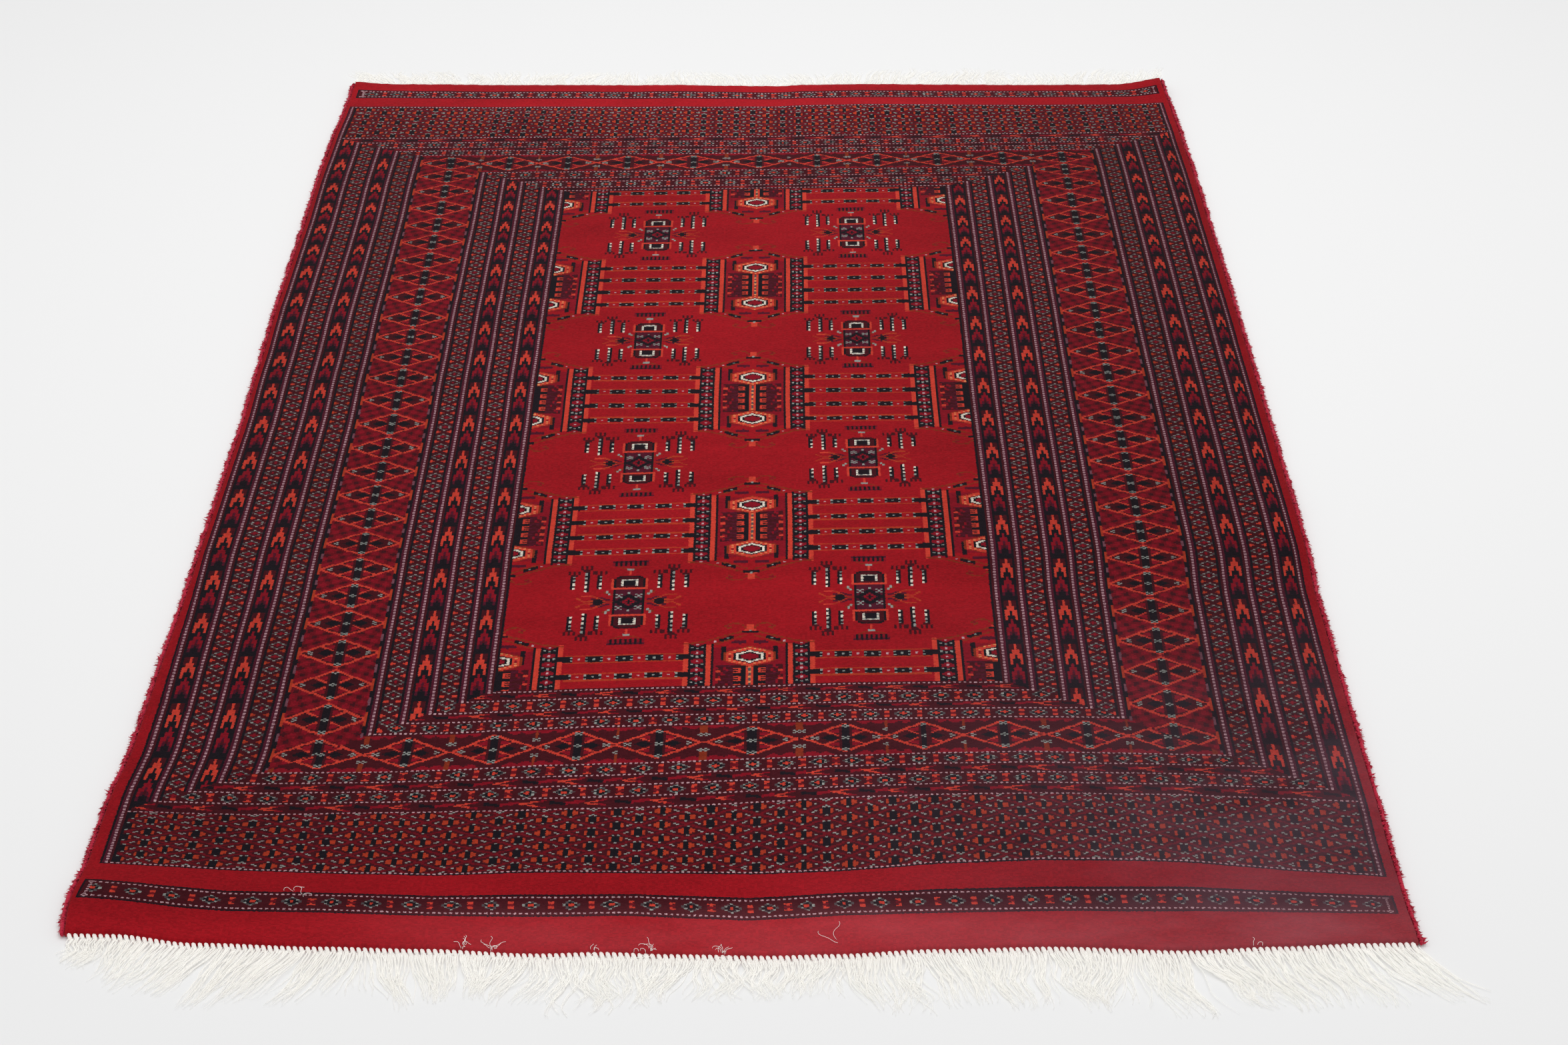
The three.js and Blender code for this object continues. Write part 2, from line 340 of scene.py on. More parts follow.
# %% Arrows of the long sides
ARROW_PITCH = 46.0


def arrow_band(middle):
    """A column of forked arrows that point to the far end, with chevrons between them."""
    off = np.abs(np.abs(columns) - middle)
    band = (off <= 2) & on_side & framed
    tips = beyond(arrow_tips, ARROW_PITCH)
    after = np.clip(np.searchsorted(tips, rows), 1, len(tips) - 1)
    below = (tips[after] - rows) / (tips[after] - tips[after - 1]) * ARROW_PITCH
    slope = below - 4.5 * off
    chart[band] = MAROON
    chart[band & (below >= 8) & (slope < 20)] = BLACK
    chart[band & (slope >= 31) & (below > 35)] = BLACK
    chart[band & (slope >= 20) & (slope < 28) & (below < 41)] = CRIMSON
    chart[band & (slope >= 28) & (slope < 32) & (below < 43)] = PLUM
    # the arrow itself is a narrow tip on two legs
    body = (off * 5.6 <= below) & (below < 10.5)
    legs = (below >= 10) & (below < 21) & (off >= np.where(below < 15.5, 1, 2))
    chart[band & (body | legs)] = ORANGE
    chart[(off == 3) & on_side & framed] = MAROON


arrow_middles = (107, 129, 201, 223)
for middle in arrow_middles:
    arrow_band(middle)
print("arrow bands at columns", arrow_middles)

# %% Small diamonds of the long sides
DIAMOND_PITCH = 12.1


def pale_ring(edge, off):
    """A diamond's ring, grey and slate by turns, counted from the diamond's middle."""
    chart[edge] = SLATE
    chart[edge & (np.round(off) % 2 == 0)] = GREY


def diamond_band(middle, start, wedge_yarn):
    """A column of small dotted diamonds with wedges between them."""
    off = np.abs(np.abs(columns) - middle)
    band = (off <= 3) & on_side & framed
    half = DIAMOND_PITCH / 2
    step = np.abs(np.mod(rows - start + half, DIAMOND_PITCH) - half)
    ring = off / 3.4 + step / 3.6
    chart[band] = MAROON
    pale_ring(band & (ring < 1.13) & (ring > 0.86), off)
    chart[band & (ring < 0.4)] = CRIMSON
    chart[band & (half - step < 0.8 * (off - 1.2))] = wedge_yarn


diamond_bands = ((118, -20, ORANGE), (140, -24, ORANGE), (190, -22, RUST), (212, -19, ORANGE))
for middle, start, wedge_yarn in diamond_bands:
    diamond_band(middle, start, wedge_yarn)
print("diamond bands at columns", [band[0] for band in diamond_bands])


# %% One diamond of the wide lattices
LATTICE_WIDE, LATTICE_TALL = 16.2, 13.2  # half sizes of a diamond


def lattice_diamond(band, off, level, ground):
    """Knots diamonds from the steps across and along, each counted from a diamond's middle."""
    up = np.abs(level)
    ring = off / LATTICE_WIDE + up / LATTICE_TALL
    inside = band & (ring < 1)
    chart[band] = ground
    chart[inside] = MAROON
    # beside the bar the ground shows in red; the side corners are dark
    chart[inside & (off > 2.6) & (off < 6) & (up > 4) & (up < 9.5 - 0.5 * off)] = CRIMSON
    corner = inside & (np.abs(off - 8.5) / 7 + up / 6.2 < 1)
    chart[corner] = MAROON
    chart[corner & (np.abs(off - 5.5) / 3.4 + up / 3 < 1)] = BLACK
    # a small cross inside, then the outline, the pale corner spots and the dark bar
    cross = np.abs(up / LATTICE_TALL - off / LATTICE_WIDE) * LATTICE_WIDE
    chart[inside & (cross < 0.85) & (off > 2.6) & (off < 8.6)] = ORANGE
    chart[band & (ring < 1.05) & (ring > 0.915)] = ORANGE
    spot = (np.abs(off - 11.7) <= 1.3) & (up <= 1.6)
    chart[inside & spot & chequer] = GREY
    bar = band & (off <= 1.5) & (up <= 12)
    chart[bar] = BLACK
    chart[bar & ((up < 1.5) | (up > 9.6)) & chequer] = GREY


# %% The wide lattice of the long sides
SIDE_LATTICE_PITCH = 29.0  # rows of one diamond as it is charted
away = np.abs(np.abs(columns) - 165).astype(float)
side_band = (away <= 16) & on_side & framed
step, room = step_from(rows, beyond(side_lattice_centres, 30.0))
lattice_diamond(side_band, away, step / room * SIDE_LATTICE_PITCH, WINE)
# the ground between the diamonds was knotted from several lots of red
lot = np.sin(rows * 0.83 + away * 0.6) + np.sin(rows * 0.31 - away * 1.1)
ground = side_band & (chart == WINE)
chart[ground & (lot > 0.5)] = CRIMSON
chart[ground & (lot < -1.0)] = MAROON
dash = side_band & (away == 16)
chart[dash] = BLACK
chart[dash & (np.abs(step) < 6)] = RUST
chart[dash & (np.abs(step) > 12)] = MAUVE
print("diamonds of each side lattice", len(side_lattice_centres))


# %% Small diamonds of the two ends
def end_rows_between(first, last):
    """Rows from one frame to the next at both ends, and how far through the band each row is."""
    through = (along_depth - first) / (last - first)
    return (through > 0) & (through < 1) & ~on_side & framed, through


def small_diamonds(band, up, start, pitch_left, pitch_right):
    """Small dotted diamonds with a bow tie of two wedges between each pair."""
    run = columns - start
    pitch = np.where(run < 0, pitch_left, pitch_right)
    off = np.abs(np.mod(run + pitch / 2, pitch) - pitch / 2)
    ring = off / 3.3 + up / 3.5
    chart[band & (ring < 1)] = BLACK
    pale_ring(band & (ring < 1.15) & (ring > 0.85), off)
    chart[band & (ring < 0.4)] = ORANGE
    from_tie = pitch / 2 - off
    tie = (from_tie < 0.45 * up) & (up > 1.1) & (up < 3.2)
    chart[band & tie] = ORANGE
    chart[band & (from_tie < 1.1) & (up <= 1.1)] = WINE


for first, last, start, pitch_left, pitch_right in (  # two frames, a middle, the pitches beside it
        (112, 124, -1, 13.0, 12.9), (134, 146, -4, 13.2, 13.0),
        (184, 196, 2, 13.8, 12.8), (206, 218, 1, 13.7, 12.9)):
    band, through = end_rows_between(first, last)
    chart[band] = MAROON
    small_diamonds(band, np.abs(through - 0.5) * 9, start, pitch_left, pitch_right)
    print("diamonds between frames", first, last)


# %% Flames of the two ends
def end_flames(first, last, start, pitch_left, pitch_right):
    """Forked flames that lie on their side, with the tip to the left."""
    band, through = end_rows_between(first, last)
    level = (through - 0.5) * 7
    run = columns - start
    pitch = np.where(run < 0, pitch_left, pitch_right)
    number = np.floor(run / pitch).astype(int)
    step = run - number * pitch
    tilt = 0.10 * np.sin(number * 2.3)
    up = np.abs(level + tilt * (step - 4))
    chart[band] = MAROON
    chart[band & (step > 10) & (step < 18) & (np.abs(level - 0.2 * (step - 14)) < 0.9)] = BLACK
    chart[band & (step > 16) & (np.abs(level + 0.2 * (step - 18)) < 0.9)] = CRIMSON
    prong = 4 + 3 * np.mod(number * 0.37, 1)
    fork = (step < prong) & (np.abs(up - step * 0.24) < 0.45)
    chart[band & fork] = ORANGE
    dim = (step >= prong) & (step < prong + 3) & (np.abs(up - step * 0.24) < 0.45)
    chart[band & dim] = CRIMSON


for first, last, start, pitch_left, pitch_right in (
        (102, 112, 12, 24.0, 21.5), (124, 134, -8, 25.0, 24.0),
        (196, 206, 2, 24.0, 21.0), (218, 228, -11, 24.0, 21.5)):
    end_flames(first, last, start, pitch_left, pitch_right)
    print("flames between frames", first, last)


# %% The wide lattice of the ends
END_LATTICE_PITCH = 32.6  # columns of one diamond as it is charted


def end_lattice(end, centres):
    """Diamonds side by side in the wide band of one end."""
    band, through = end_rows_between(146, 184)
    band = band & (rows * end > 0)
    level = (through - 0.5) * 34
    up = np.abs(level)
    step, room = step_from(columns, beyond(centres, 33.0))
    off = np.abs(step) / room * END_LATTICE_PITCH
    lattice_diamond(band, off, level, MAROON)
    # red patches along the frames, and a pendant with a pale tip between two diamonds
    patch = (np.abs(off - 7.5) < 0.9 * (up - 12.2)) | (np.abs(off - 13) < 1.0 * (up - 11.4))
    chart[band & patch & (up > 12)] = CRIMSON
    chart[band & (off > 15.5) & (up > 8)] = BROWN
    chart[band & (off > 14.6) & (up > 5.2) & (up < 8.2) & chequer] = GREY


end_lattice(-1, near_lattice_centres)
end_lattice(1, far_lattice_centres)
print("diamonds of the end lattices", len(near_lattice_centres), len(far_lattice_centres))


# %% Frame lines
def dotted_row(level, half):
    """One row of maroon with a pink knot on every second column."""
    along = (rows == level) & (np.abs(columns) <= half)
    chart[along] = MAROON
    chart[along & (columns % 2 == 0)] = PINK


for half, near, far in zip(frame_columns[1:-1], near_rows[1:-1], far_rows[1:-1]):
    half = int(half)
    near, far = -int(round(near)), int(round(far))
    if half == 228:
        near, far = PANEL_NEAR, PANEL_FAR
    out = np.abs(columns) - half
    beside = (np.abs(out) <= 2) & (rows >= near) & (rows <= far)
    chart[beside] = BLACK
    chart[beside & (out == -1)] = MAROON
    chart[beside & (out == 1)] = PLUM
    chart[beside & (out == 0)] = MAUVE
    chart[beside & (out == 0) & (rows % 3 == 0)] = PINK
    for level, outward in ((near, -1), (far, 1)):
        dotted_row(level, half)
        chart[(rows == level + outward) & (np.abs(columns) <= half + 2)] = MAROON
for level in (PANEL_INNER_NEAR, PANEL_INNER_FAR):
    dotted_row(level, 226)
print("frames knotted", len(frame_columns) - 2)

# %% [markdown]
# ## End panels and the narrow bands
# Beyond the frames each end has a panel of small blocks in a staggered trellis, a red strip, and
# one narrow dotted band that is closed at both ends. Each block is a few dark knots with pale caps
# and an orange wedge on either side.


# %% The trellis panels
BLOCK_WIDE, BLOCK_RISE = 8.6, 12.7  # columns and rows from one block to the next


def end_panel(near, far, places):
    """Blocks in a trellis between two rows. Every second column of blocks is set half a step up."""
    region = (rows > near) & (rows < far) & (np.abs(columns) <= 225)
    middle = (near + far) / 2
    centres = end_columns(places, middle)
    step, room = step_from(columns, beyond(centres, BLOCK_WIDE))
    nearest = np.searchsorted((centres[1:] + centres[:-1]) / 2, columns)
    across = np.abs(step / room * BLOCK_WIDE)
    # the cell of the nearest column, or of its neighbour half a step up
    half = BLOCK_RISE / 2
    along = np.abs(np.mod(rows - middle - (nearest % 2) * half + half, BLOCK_RISE) - half)
    outside = across / BLOCK_WIDE + along / half > 1
    off = np.where(outside, BLOCK_WIDE - across, across)
    up = np.where(outside, half - along, along)
    ring = off / BLOCK_WIDE + up / half
    chart[region] = MAROON
    chart[region & (ring > 0.87)] = WINE
    wedge = (off > 1.25) & (off <= 2.9) & (up < 2.5 - 0.7 * (off - 1.25))
    chart[region & wedge] = RUST
    lozenge = (np.abs(off - 4.8) <= 0.8) & (up <= 1.1)
    chart[region & lozenge & chequer] = GREY
    block = off <= 1.25
    chart[region & block & (up < 3.2)] = BLACK
    chart[region & block & (up >= 3.2) & (up < 4.5) & chequer] = GREY


# %% The narrow bands and the panels' blocks
def narrow_band(near, far, left, right, start, pitch_left, pitch_right):
    """One dotted band with small diamonds, closed at both ends, in the red strip of an end."""
    region = (rows >= near) & (rows <= far) & (columns >= left) & (columns <= right)
    chart[region] = BLACK
    inner = region & (rows > near) & (rows < far) & (columns > left) & (columns < right)
    chart[inner] = MAROON
    closed = (columns <= left + 3) | (columns >= right - 3)
    rim = inner & ((rows <= near + 2) | (rows >= far - 2) | closed)
    chart[rim & ((rows == near + 2) | (rows == far - 2)) & (columns % 2 == 0)] = PINK
    chart[rim & ((columns == left + 3) | (columns == right - 3)) & (rows % 2 == 0)] = PINK
    small_diamonds(inner & ~rim, np.abs(rows - (near + far) / 2), start, pitch_left, pitch_right)


near_blocks = [  # places across the rug of the columns of blocks
    -625, -601, -577, -549, -524, -497, -469, -443, -416, -390, -367, -342, -317, -291, -268,
    -242, -219, -195, -170, -146, -121, -98, -74, -49, -25, -1, 23, 47, 70, 93, 116, 139, 161,
    183, 205, 227, 247, 270, 290, 313, 335, 358, 380, 402, 425, 448, 470, 492, 517, 541, 564,
    588, 615]
far_blocks = [
    -610, -585, -560, -532, -505, -478, -453, -427, -403, -380, -355, -330, -306, -282, -258,
    -235, -210, -187, -165, -144, -122, -100, -75, -50, -25, 0, 24, 48, 73, 97, 122, 146, 168,
    190, 214, 238, 262, 288, 312, 338, 364, 389, 414, 440, 465, 490, 515, 540, 566, 590, 615]
end_panel(PANEL_NEAR, PANEL_INNER_NEAR, near_blocks)
end_panel(PANEL_INNER_FAR, PANEL_FAR, far_blocks)
narrow_band(-531, -514, -232, 230, -5.0, 13.9, 13.3)
narrow_band(528, 542, -228, 230, 2.0, 13.9, 13.7)
for level in (PANEL_NEAR - 1, PANEL_FAR + 1):
    chart[(rows == level) & (np.abs(columns) <= 230)] = BLACK
print("columns of blocks in the panels", len(near_blocks), len(far_blocks))

# %% [markdown]
# ## The field
# Five rows of medallions cross the red field: one in the middle and half a one at each side. Each
# has two eyes joined by a stem, and ladders run between neighbours. Between these rows stand the
# minor figures with their combs, branches and tassels. The weaver beat some figures taller than
# others, so each row of figures has its own height.


# %% The medallion
def draw_medallion(patch, dx, dy):
    """Two eyes on a stem between bars and dotted columns, with a roof at either end."""
    off, up = np.abs(dx), np.abs(dy)
    patch[(off <= 15) & (up <= 39)] = CRIMSON
    patch[(off <= 15) & (up > 36) & (up < 50 - 0.75 * off)] = RED
    patch[(off <= 7) & (off >= 2) & (np.abs(up - 41.5) < 1.8 - 0.2 * np.abs(off - 4))] = PLUM
    # flames beside the stem, no two quite alike
    stray = np.sin(dy * 0.9 + dx * 2.1) + np.sin(dy * 0.37 - dx * 1.3)
    flame = (off >= 7) & (off <= 13) & (up <= 18)
    patch[(off >= 4) & (off <= 13) & (up <= 18)] = MAROON
    wave = np.abs(np.mod(dy + 2, 8) - 4)
    patch[flame & (wave < (13.4 - off) * 0.5 + 0.5 * stray)] = PLUM
    patch[flame & (off > 8.5) & (stray < -0.9)] = CRIMSON
    patch[flame & (wave < (12 - off) * 0.3 + 0.4 * stray)] = MAROON
    patch[(off >= 12) & (off <= 13) & (up <= 16) & (np.abs(np.mod(dy, 8) - 4) < 1.1)] = ORANGE
    # teeth of the comb, then the stem with its pale core
    tooth = np.abs(np.mod(dy, 8) - 4)
    patch[(off >= 3) & (off <= 6) & (up <= 16)] = BLACK
    patch[(off >= 4) & (off <= 6) & (up <= 15.5) & (tooth < 2.4)] = ORANGE
    patch[(off >= 5) & (off <= 6) & (up <= 15.5) & (tooth > 0.6) & (tooth < 1.3)] = BLACK
    patch[(off >= 2) & (off <= 3) & (up <= 19)] = BLACK
    patch[(off <= 1) & (up <= 19)] = ORANGE
    patch[(off < 0.5) & (up <= 19)] = SLATE
    patch[(off < 0.5) & (up <= 19) & (np.mod(dy, 5) < 2)] = APRICOT
    # bars beside the eyes
    patch[(off >= 10) & (off <= 11) & (up >= 23) & (up <= 37.5)] = BLACK
    # the two eyes
    eye = up - 26.5
    away = np.abs(eye)
    outer = np.maximum(off / 9.6, off / 9.6 * 0.55 + away / 10.2)
    patch[outer < 1.07] = BROWN
    patch[outer < 1.0] = ORANGE
    patch[(outer < 0.96) & (outer > 0.80) & ((dx + 2 * np.round(dy)) % 4 == 0)] = APRICOT
    patch[(off == 8) & (away < 1.2)] = CRIMSON
    patch[outer < 0.70] = BLACK
    inner = np.maximum(off / 5.9, off / 5.9 * 0.6 + away / 6.3)
    patch[inner < 1.0] = CREAM
    patch[np.maximum(off / 4.2, off / 4.2 * 0.6 + away / 4.9) < 1] = BLACK
    patch[np.maximum(off / 3.2, off / 3.2 * 0.6 + away / 3.7) < 1] = CRIMSON
    # long orange bars with a thin dark line on either side
    patch[(off == 15) & (up <= 40)] = BLACK
    patch[(off >= 16) & (off <= 17) & (up <= 39)] = ORANGE
    # dotted columns
    column = (off >= 18) & (off <= 24) & (up <= 40.5)
    patch[column] = BLACK
    beat = np.abs(np.mod(dy, 9) - 4.5)
    patch[column & (np.abs(off - 21) <= 2) & (beat + 0.8 * np.abs(off - 21) < 2.9)] = CRIMSON
    patch[column & (off == 21) & (beat < 0.9)] = PINK
    patch[column & (off == 21) & (beat > 3.8)] = GREY
    patch[column & ((off == 19) | (off == 23)) & (np.abs(np.mod(dy, 9) - 1) < 0.6)] = GREY
    # posts of the ladders
    patch[(off >= 25) & (off <= 26) & (up <= 42)] = ORANGE
    # roofs
    for side in (-1, 1):
        for tall in (-1, 1):
            near = [(side * 26, tall * 40.5), (side * 19, tall * 42.5), (side * 3, tall * 53)]
            line(patch, dx, dy, near, BROWN, 1.1)
            line(patch, dx, dy, [(side * 14, tall * 39.5), (side * 2, tall * 49)], BROWN, 1.0)
            line(patch, dx, dy, [(side * 12, tall * 43.5), (side * 7, tall * 47)], BLACK, 2.6)
            line(patch, dx, dy, [(side * 9, tall * 45.5), (side * 9.5, tall * 45.4)], GREY, 0.9)
            line(patch, dx, dy, [(side * 14, tall * 42.5), (side * 14.4, tall * 42.5)], PINK, 1.2)
            curl = [(side * 1.5, tall * 57), (side * 4, tall * 61.5), (side * 7, tall * 62),
                    (side * 10, tall * 59), (side * 9, tall * 56.5), (side * 7.5, tall * 58)]
            line(patch, dx, dy, curl, BROWN, 1.0)
            line(patch, dx, dy, [(side * 8.6, tall * 58.6), (side * 9, tall * 58.6)], CRIMSON, 1.8)
    patch[(off <= 3) & (np.abs(up - 52.5) < 1.4)] = BLACK
    patch[(off <= 1) & (up >= 54) & (up <= 61)] = ORANGE
    patch[(off == 2) & (up >= 54) & (up <= 55.5)] = ORANGE
    patch[(off < 0.5) & (np.abs(up - 54) < 0.8)] = GREY


# %% The ladders between two medallions
BETWEEN = (-50, 50)  # columns half way between two medallions
LADDER_BARS = (-27, -9, 9, 27)  # rows of the bars, from the middle of a medallion


def draw_ladder(patch, dx, dy):
    """Four bars of dark segments between thin lines, with dx counted from between the posts."""
    off = np.abs(dx)
    patch[(off <= 23.5) & (np.abs(dy) <= 36)] = RED
    for bar in LADDER_BARS:
        up = np.abs(dy - bar)
        patch[(off <= 23.5) & (np.abs(up - 3.4) < 0.56)] = RUST
        patch[(off <= 26) & (off > 23.5) & (up < 2.8)] = BLACK
        for middle in (-24, -12, 0, 12, 24):
            away = np.abs(dx - middle)
            patch[(away <= 3) & (up < 2.6)] = BLACK
            patch[(away == 3) & (np.abs(up - 1.8) < 0.6)] = GREY
            patch[(away < 0.6) & (up < 0.6)] = GREY
        for gap in (6, 18):
            patch[(np.abs(off - gap) < 0.6) & (up < 0.6)] = PINK


# %% The minor figure
def draw_minor(patch, dx, dy):
    """A body with two heads, combs beyond them, and branches with tassels on either side."""
    off, up = np.abs(dx), np.abs(dy)
    # combs with their teeth, the pale spot and the neck
    comb = (off <= 7) & (up >= 36.5) & (up <= 42)
    patch[comb & (off % 2 == 1)] = PLUM
    patch[comb & (off % 2 == 0)] = BLACK
    patch[comb & (off % 2 == 1) & (up < 40.5)] = CRIMSON
    for side in (-1, 1):
        for tall in (-1, 1):
            line(patch, dx, dy, [(side * 5.5, tall * 36.5), (side * 3, tall * 34.5),
                                 (side * 0.8, tall * 33.5)], BROWN, 1.0)
            # pale strokes at the shoulders and forked branches
            line(patch, dx, dy, [(side * 7.4, tall * 7.5), (side * 9.6, tall * 10)], BROWN, 1.7)
            line(patch, dx, dy, [(side * 8, tall * 8), (side * 9.4, tall * 11)], GREY, 1.2)
            bough = [(side * 15, tall * 6.5), (side * 19.5, tall * 6.5)]
            line(patch, dx, dy, bough, ORANGE if side < 0 else RUST, 1.2)
            branch = [(side * 8, tall * 2), (side * 12, tall * 4.5), (side * 15, tall * 3)]
            line(patch, dx, dy, branch, PLUM, 1.3)
            line(patch, dx, dy, [(side * 10, tall * 1), (side * 15, tall * 6.5)], RUST, 1.0)
            fork = [(side * 15, tall * 1.5), (side * 18, tall * 1), (side * 21.5, tall * 4.5)]
            line(patch, dx, dy, fork, RUST, 1.0)
        line(patch, dx, dy, [(side * 7, 0), (side * 12, 0)], BROWN, 1.1)
        patch[(np.abs(dx - side * 12.5) + up * 0.7) < 2.8] = BLACK
    patch[(off <= 1) & (up >= 32) & (up <= 34)] = GREY
    patch[(off < 0.6) & (up >= 27) & (up < 32)] = ORANGE
    # heads: a dark shell, a thin white line on three sides, and orange shoulders
    outline = (off <= 6.4) & (up >= 13.5) & (up <= 26) & (off + (up - 20) * 0.6 < 8.2)
    patch[outline] = BLACK
    patch[(off <= 5.4) & (up >= 14.5) & (up <= 25) & (off + (up - 20) * 0.6 < 7.0)] = MAROON
    white = (off <= 3.4) & (up >= 16) & (up <= 23) & (off + (up - 20) * 0.6 < 4.8)
    patch[white] = CREAM
    patch[white & ((dx + np.round(dy)) % 3 == 0)] = GREY
    patch[(off <= 2.4) & (up >= 16) & (up <= 21.6) & (off + (up - 20) * 0.6 < 3.8)] = BLACK
    patch[(np.abs(off - 7) < 0.6) & (up >= 13.5) & (up <= 24)] = ORANGE
    patch[(off <= 7) & (np.abs(up - 13.6) < 0.9)] = ORANGE
    # body
    body = (off <= 6.4) & (up <= 12.6)
    patch[body] = PLUM
    patch[body & (off > 5)] = BLACK
    ring = off / 4.6 + up / 6.5
    patch[body & (np.abs(ring - 1.0) < 0.3)] = BLACK
    patch[body & (ring < 0.62)] = CRIMSON
    patch[body & (ring < 0.34)] = BLACK
    patch[body & (off < 0.6) & (np.abs(up - 9) < 1)] = GREY
    specks = (np.abs(off - 3.8) < 1.3) & (np.abs(up - 6) < 2) & ((dx + np.round(dy)) % 2 == 0)
    patch[body & specks] = GREY
    # tassels above and below the branches
    for middle, low, high, foot in (
            (12.4, 13, 26, 31.5), (17.8, 10.5, 31, 37.5), (23.2, 13, 26, 31.5)):
        away = np.abs(off - middle)
        cord = (away < 1.15) & (up >= low) & (up <= high)
        patch[cord] = BLACK
        pale = cord & (np.round(away) == 0) & (np.mod(up - low, 4.3) < 2.3)
        patch[pale] = CREAM
        patch[pale & (up > (low + high) / 2)] = GREY
        patch[(away < 1.3) & (up > high) & (up <= high + 2.5)] = MAROON
        feet = (away < 2.8) & (up > high + 2) & (up <= foot) & (np.round(away) != 1)
        patch[feet] = MAROON


# %% Knot the field
medallion_rows = [  # along the rug at the middle of each row of figures, and its stretch
    (-541, 0.98), (-263.3, 0.99), (7.5, 1.08), (286, 1.08), (566, 1.08)]
minor_rows = [(-400, 1.08), (-129.5, 1.02), (145.5, 1.0), (428, 1.04)]
for y, stretch in minor_rows:
    for middle in BETWEEN:
        figure(middle, round(row_at(y)), 27, 44, draw_minor, in_field, stretch)
for y, stretch in medallion_rows:
    for middle in BETWEEN:
        figure(middle, round(row_at(y)), 26, 38, draw_ladder, in_field, stretch)
    for middle in (-101, 0, 101):
        figure(middle, round(row_at(y)), 27, 64, draw_medallion, in_field, stretch)
    # the bars of the ladders show as dark knots on the posts too
    for middle in BETWEEN:
        for bar in LADDER_BARS:
            level = row_at(y) + bar * stretch
            post = (np.abs(np.abs(columns - middle) - 25) <= 1) & (np.abs(rows - level) < 2.6)
            chart[post & in_field] = BLACK
counts = np.bincount(chart.ravel(), minlength=len(yarn_names))
print({name: int(n) for name, n in zip(yarn_names, counts)})

# %% [markdown]
# ## From the chart to the mesh
# One face for each knot would be a million triangles, so one face holds 3 by 5 knots. Its fifteen
# yarn numbers are packed into a face attribute of three numbers, one for each column, with five
# digits to base 16. The material unpacks them again, so each knot keeps its own yarn and its edge.

# %% Grid of the pile
KNOTS_X, KNOTS_Y, BASE = 3, 5, 16
cells_x, cells_y = chart.shape[1] // KNOTS_X, chart.shape[0] // KNOTS_Y
blocks = chart.reshape(cells_y, KNOTS_Y, cells_x, KNOTS_X).transpose(0, 2, 1, 3)
powers = BASE ** np.arange(KNOTS_Y)
packed = (blocks * powers[None, None, :, None]).sum(axis=2).astype(np.float32)
print("faces of the pile", cells_x * cells_y, "largest packed number", packed.max())

line_columns = np.arange(cells_x + 1) * KNOTS_X - COLUMNS_HALF - 0.5
line_rows = np.arange(cells_y + 1) * KNOTS_Y - ROWS_HALF - 0.5
grid_c, grid_r = np.meshgrid(line_columns, line_rows)
grid_x, grid_y = (v.reshape(grid_c.shape) for v in place_knot(grid_c.ravel(), grid_r.ravel()))


def uneven(x, y):
    """Gentle unevenness of a sheared pile, in millimetres."""
    return (0.22 * np.sin(x / 41 + 1.3 * np.sin(y / 67)) * np.sin(y / 53 + 0.8)
            + 0.14 * np.sin(x / 17 + y / 29) + 0.10 * np.sin(x / 9.1 - y / 7.3 + 2))


# %% The rounded rim of the cloth
RIM = [  # inset from the edge and height over the underside, from the pile's top down
    (2.6, 8.9), (1.3, 8.3), (0.45, 7.0), (0.0, 5.2), (0.0, 2.2), (0.5, 0.6), (1.4, 0.0)]


def inset_grid(inset):
    """The grid drawn in at its border by an inset in millimetres."""
    x, y = grid_x.copy(), grid_y.copy()
    x[:, 0] += inset
    x[:, -1] -= inset
    y[0, :] += inset
    y[-1, :] -= inset
    return x, y


def border_of(grid):
    """The border of a grid as one closed loop, counter-clockwise from above."""
    return np.concatenate([grid[0, :-1], grid[:-1, -1], grid[-1, :0:-1], grid[:0:-1, 0]])


# %% Points of the cloth
top_x, top_y = inset_grid(RIM[0][0])
top_z = PILE_TOP + lift_at(top_x, top_y) + uneven(top_x, top_y) - 0.25
top_z[[0, -1], :] -= 0.1
low_x, low_y = inset_grid(RIM[-1][0])
low_z = lift_at(low_x, low_y)
top_index = np.arange(top_x.size).reshape(top_x.shape)
points = [np.stack([top_x.ravel(), top_y.ravel(), top_z.ravel()], 1)]
rings = [border_of(top_index)]
for inset, height in RIM[1:-1]:
    x, y = (border_of(v) for v in inset_grid(inset))
    z = lift_at(x, y) + height
    if height > 5:  # the cut tufts of the rim's upper half stand a little unevenly
        z = z + 0.35 * np.sin(x / 3.1 + y / 2.3) + 0.25 * np.sin(x / 7.7 - y / 5.1)
    rings.append(sum(map(len, points)) + np.arange(len(x)))
    points.append(np.stack([x, y, z], 1))
low_index = sum(map(len, points)) + top_index
points.append(np.stack([low_x.ravel(), low_y.ravel(), low_z.ravel()], 1))
rings.append(border_of(low_index))
points = np.concatenate(points) / 1000
print("points of the cloth", len(points), "rings of the rim", len(rings))


# %% Faces of the cloth and the knots that each one carries
def grid_quads(index):
    """Faces of a grid of points, counter-clockwise from above."""
    corners = [index[:-1, :-1], index[:-1, 1:], index[1:, 1:], index[1:, :-1]]
    return np.stack(corners, -1).reshape(-1, 4)


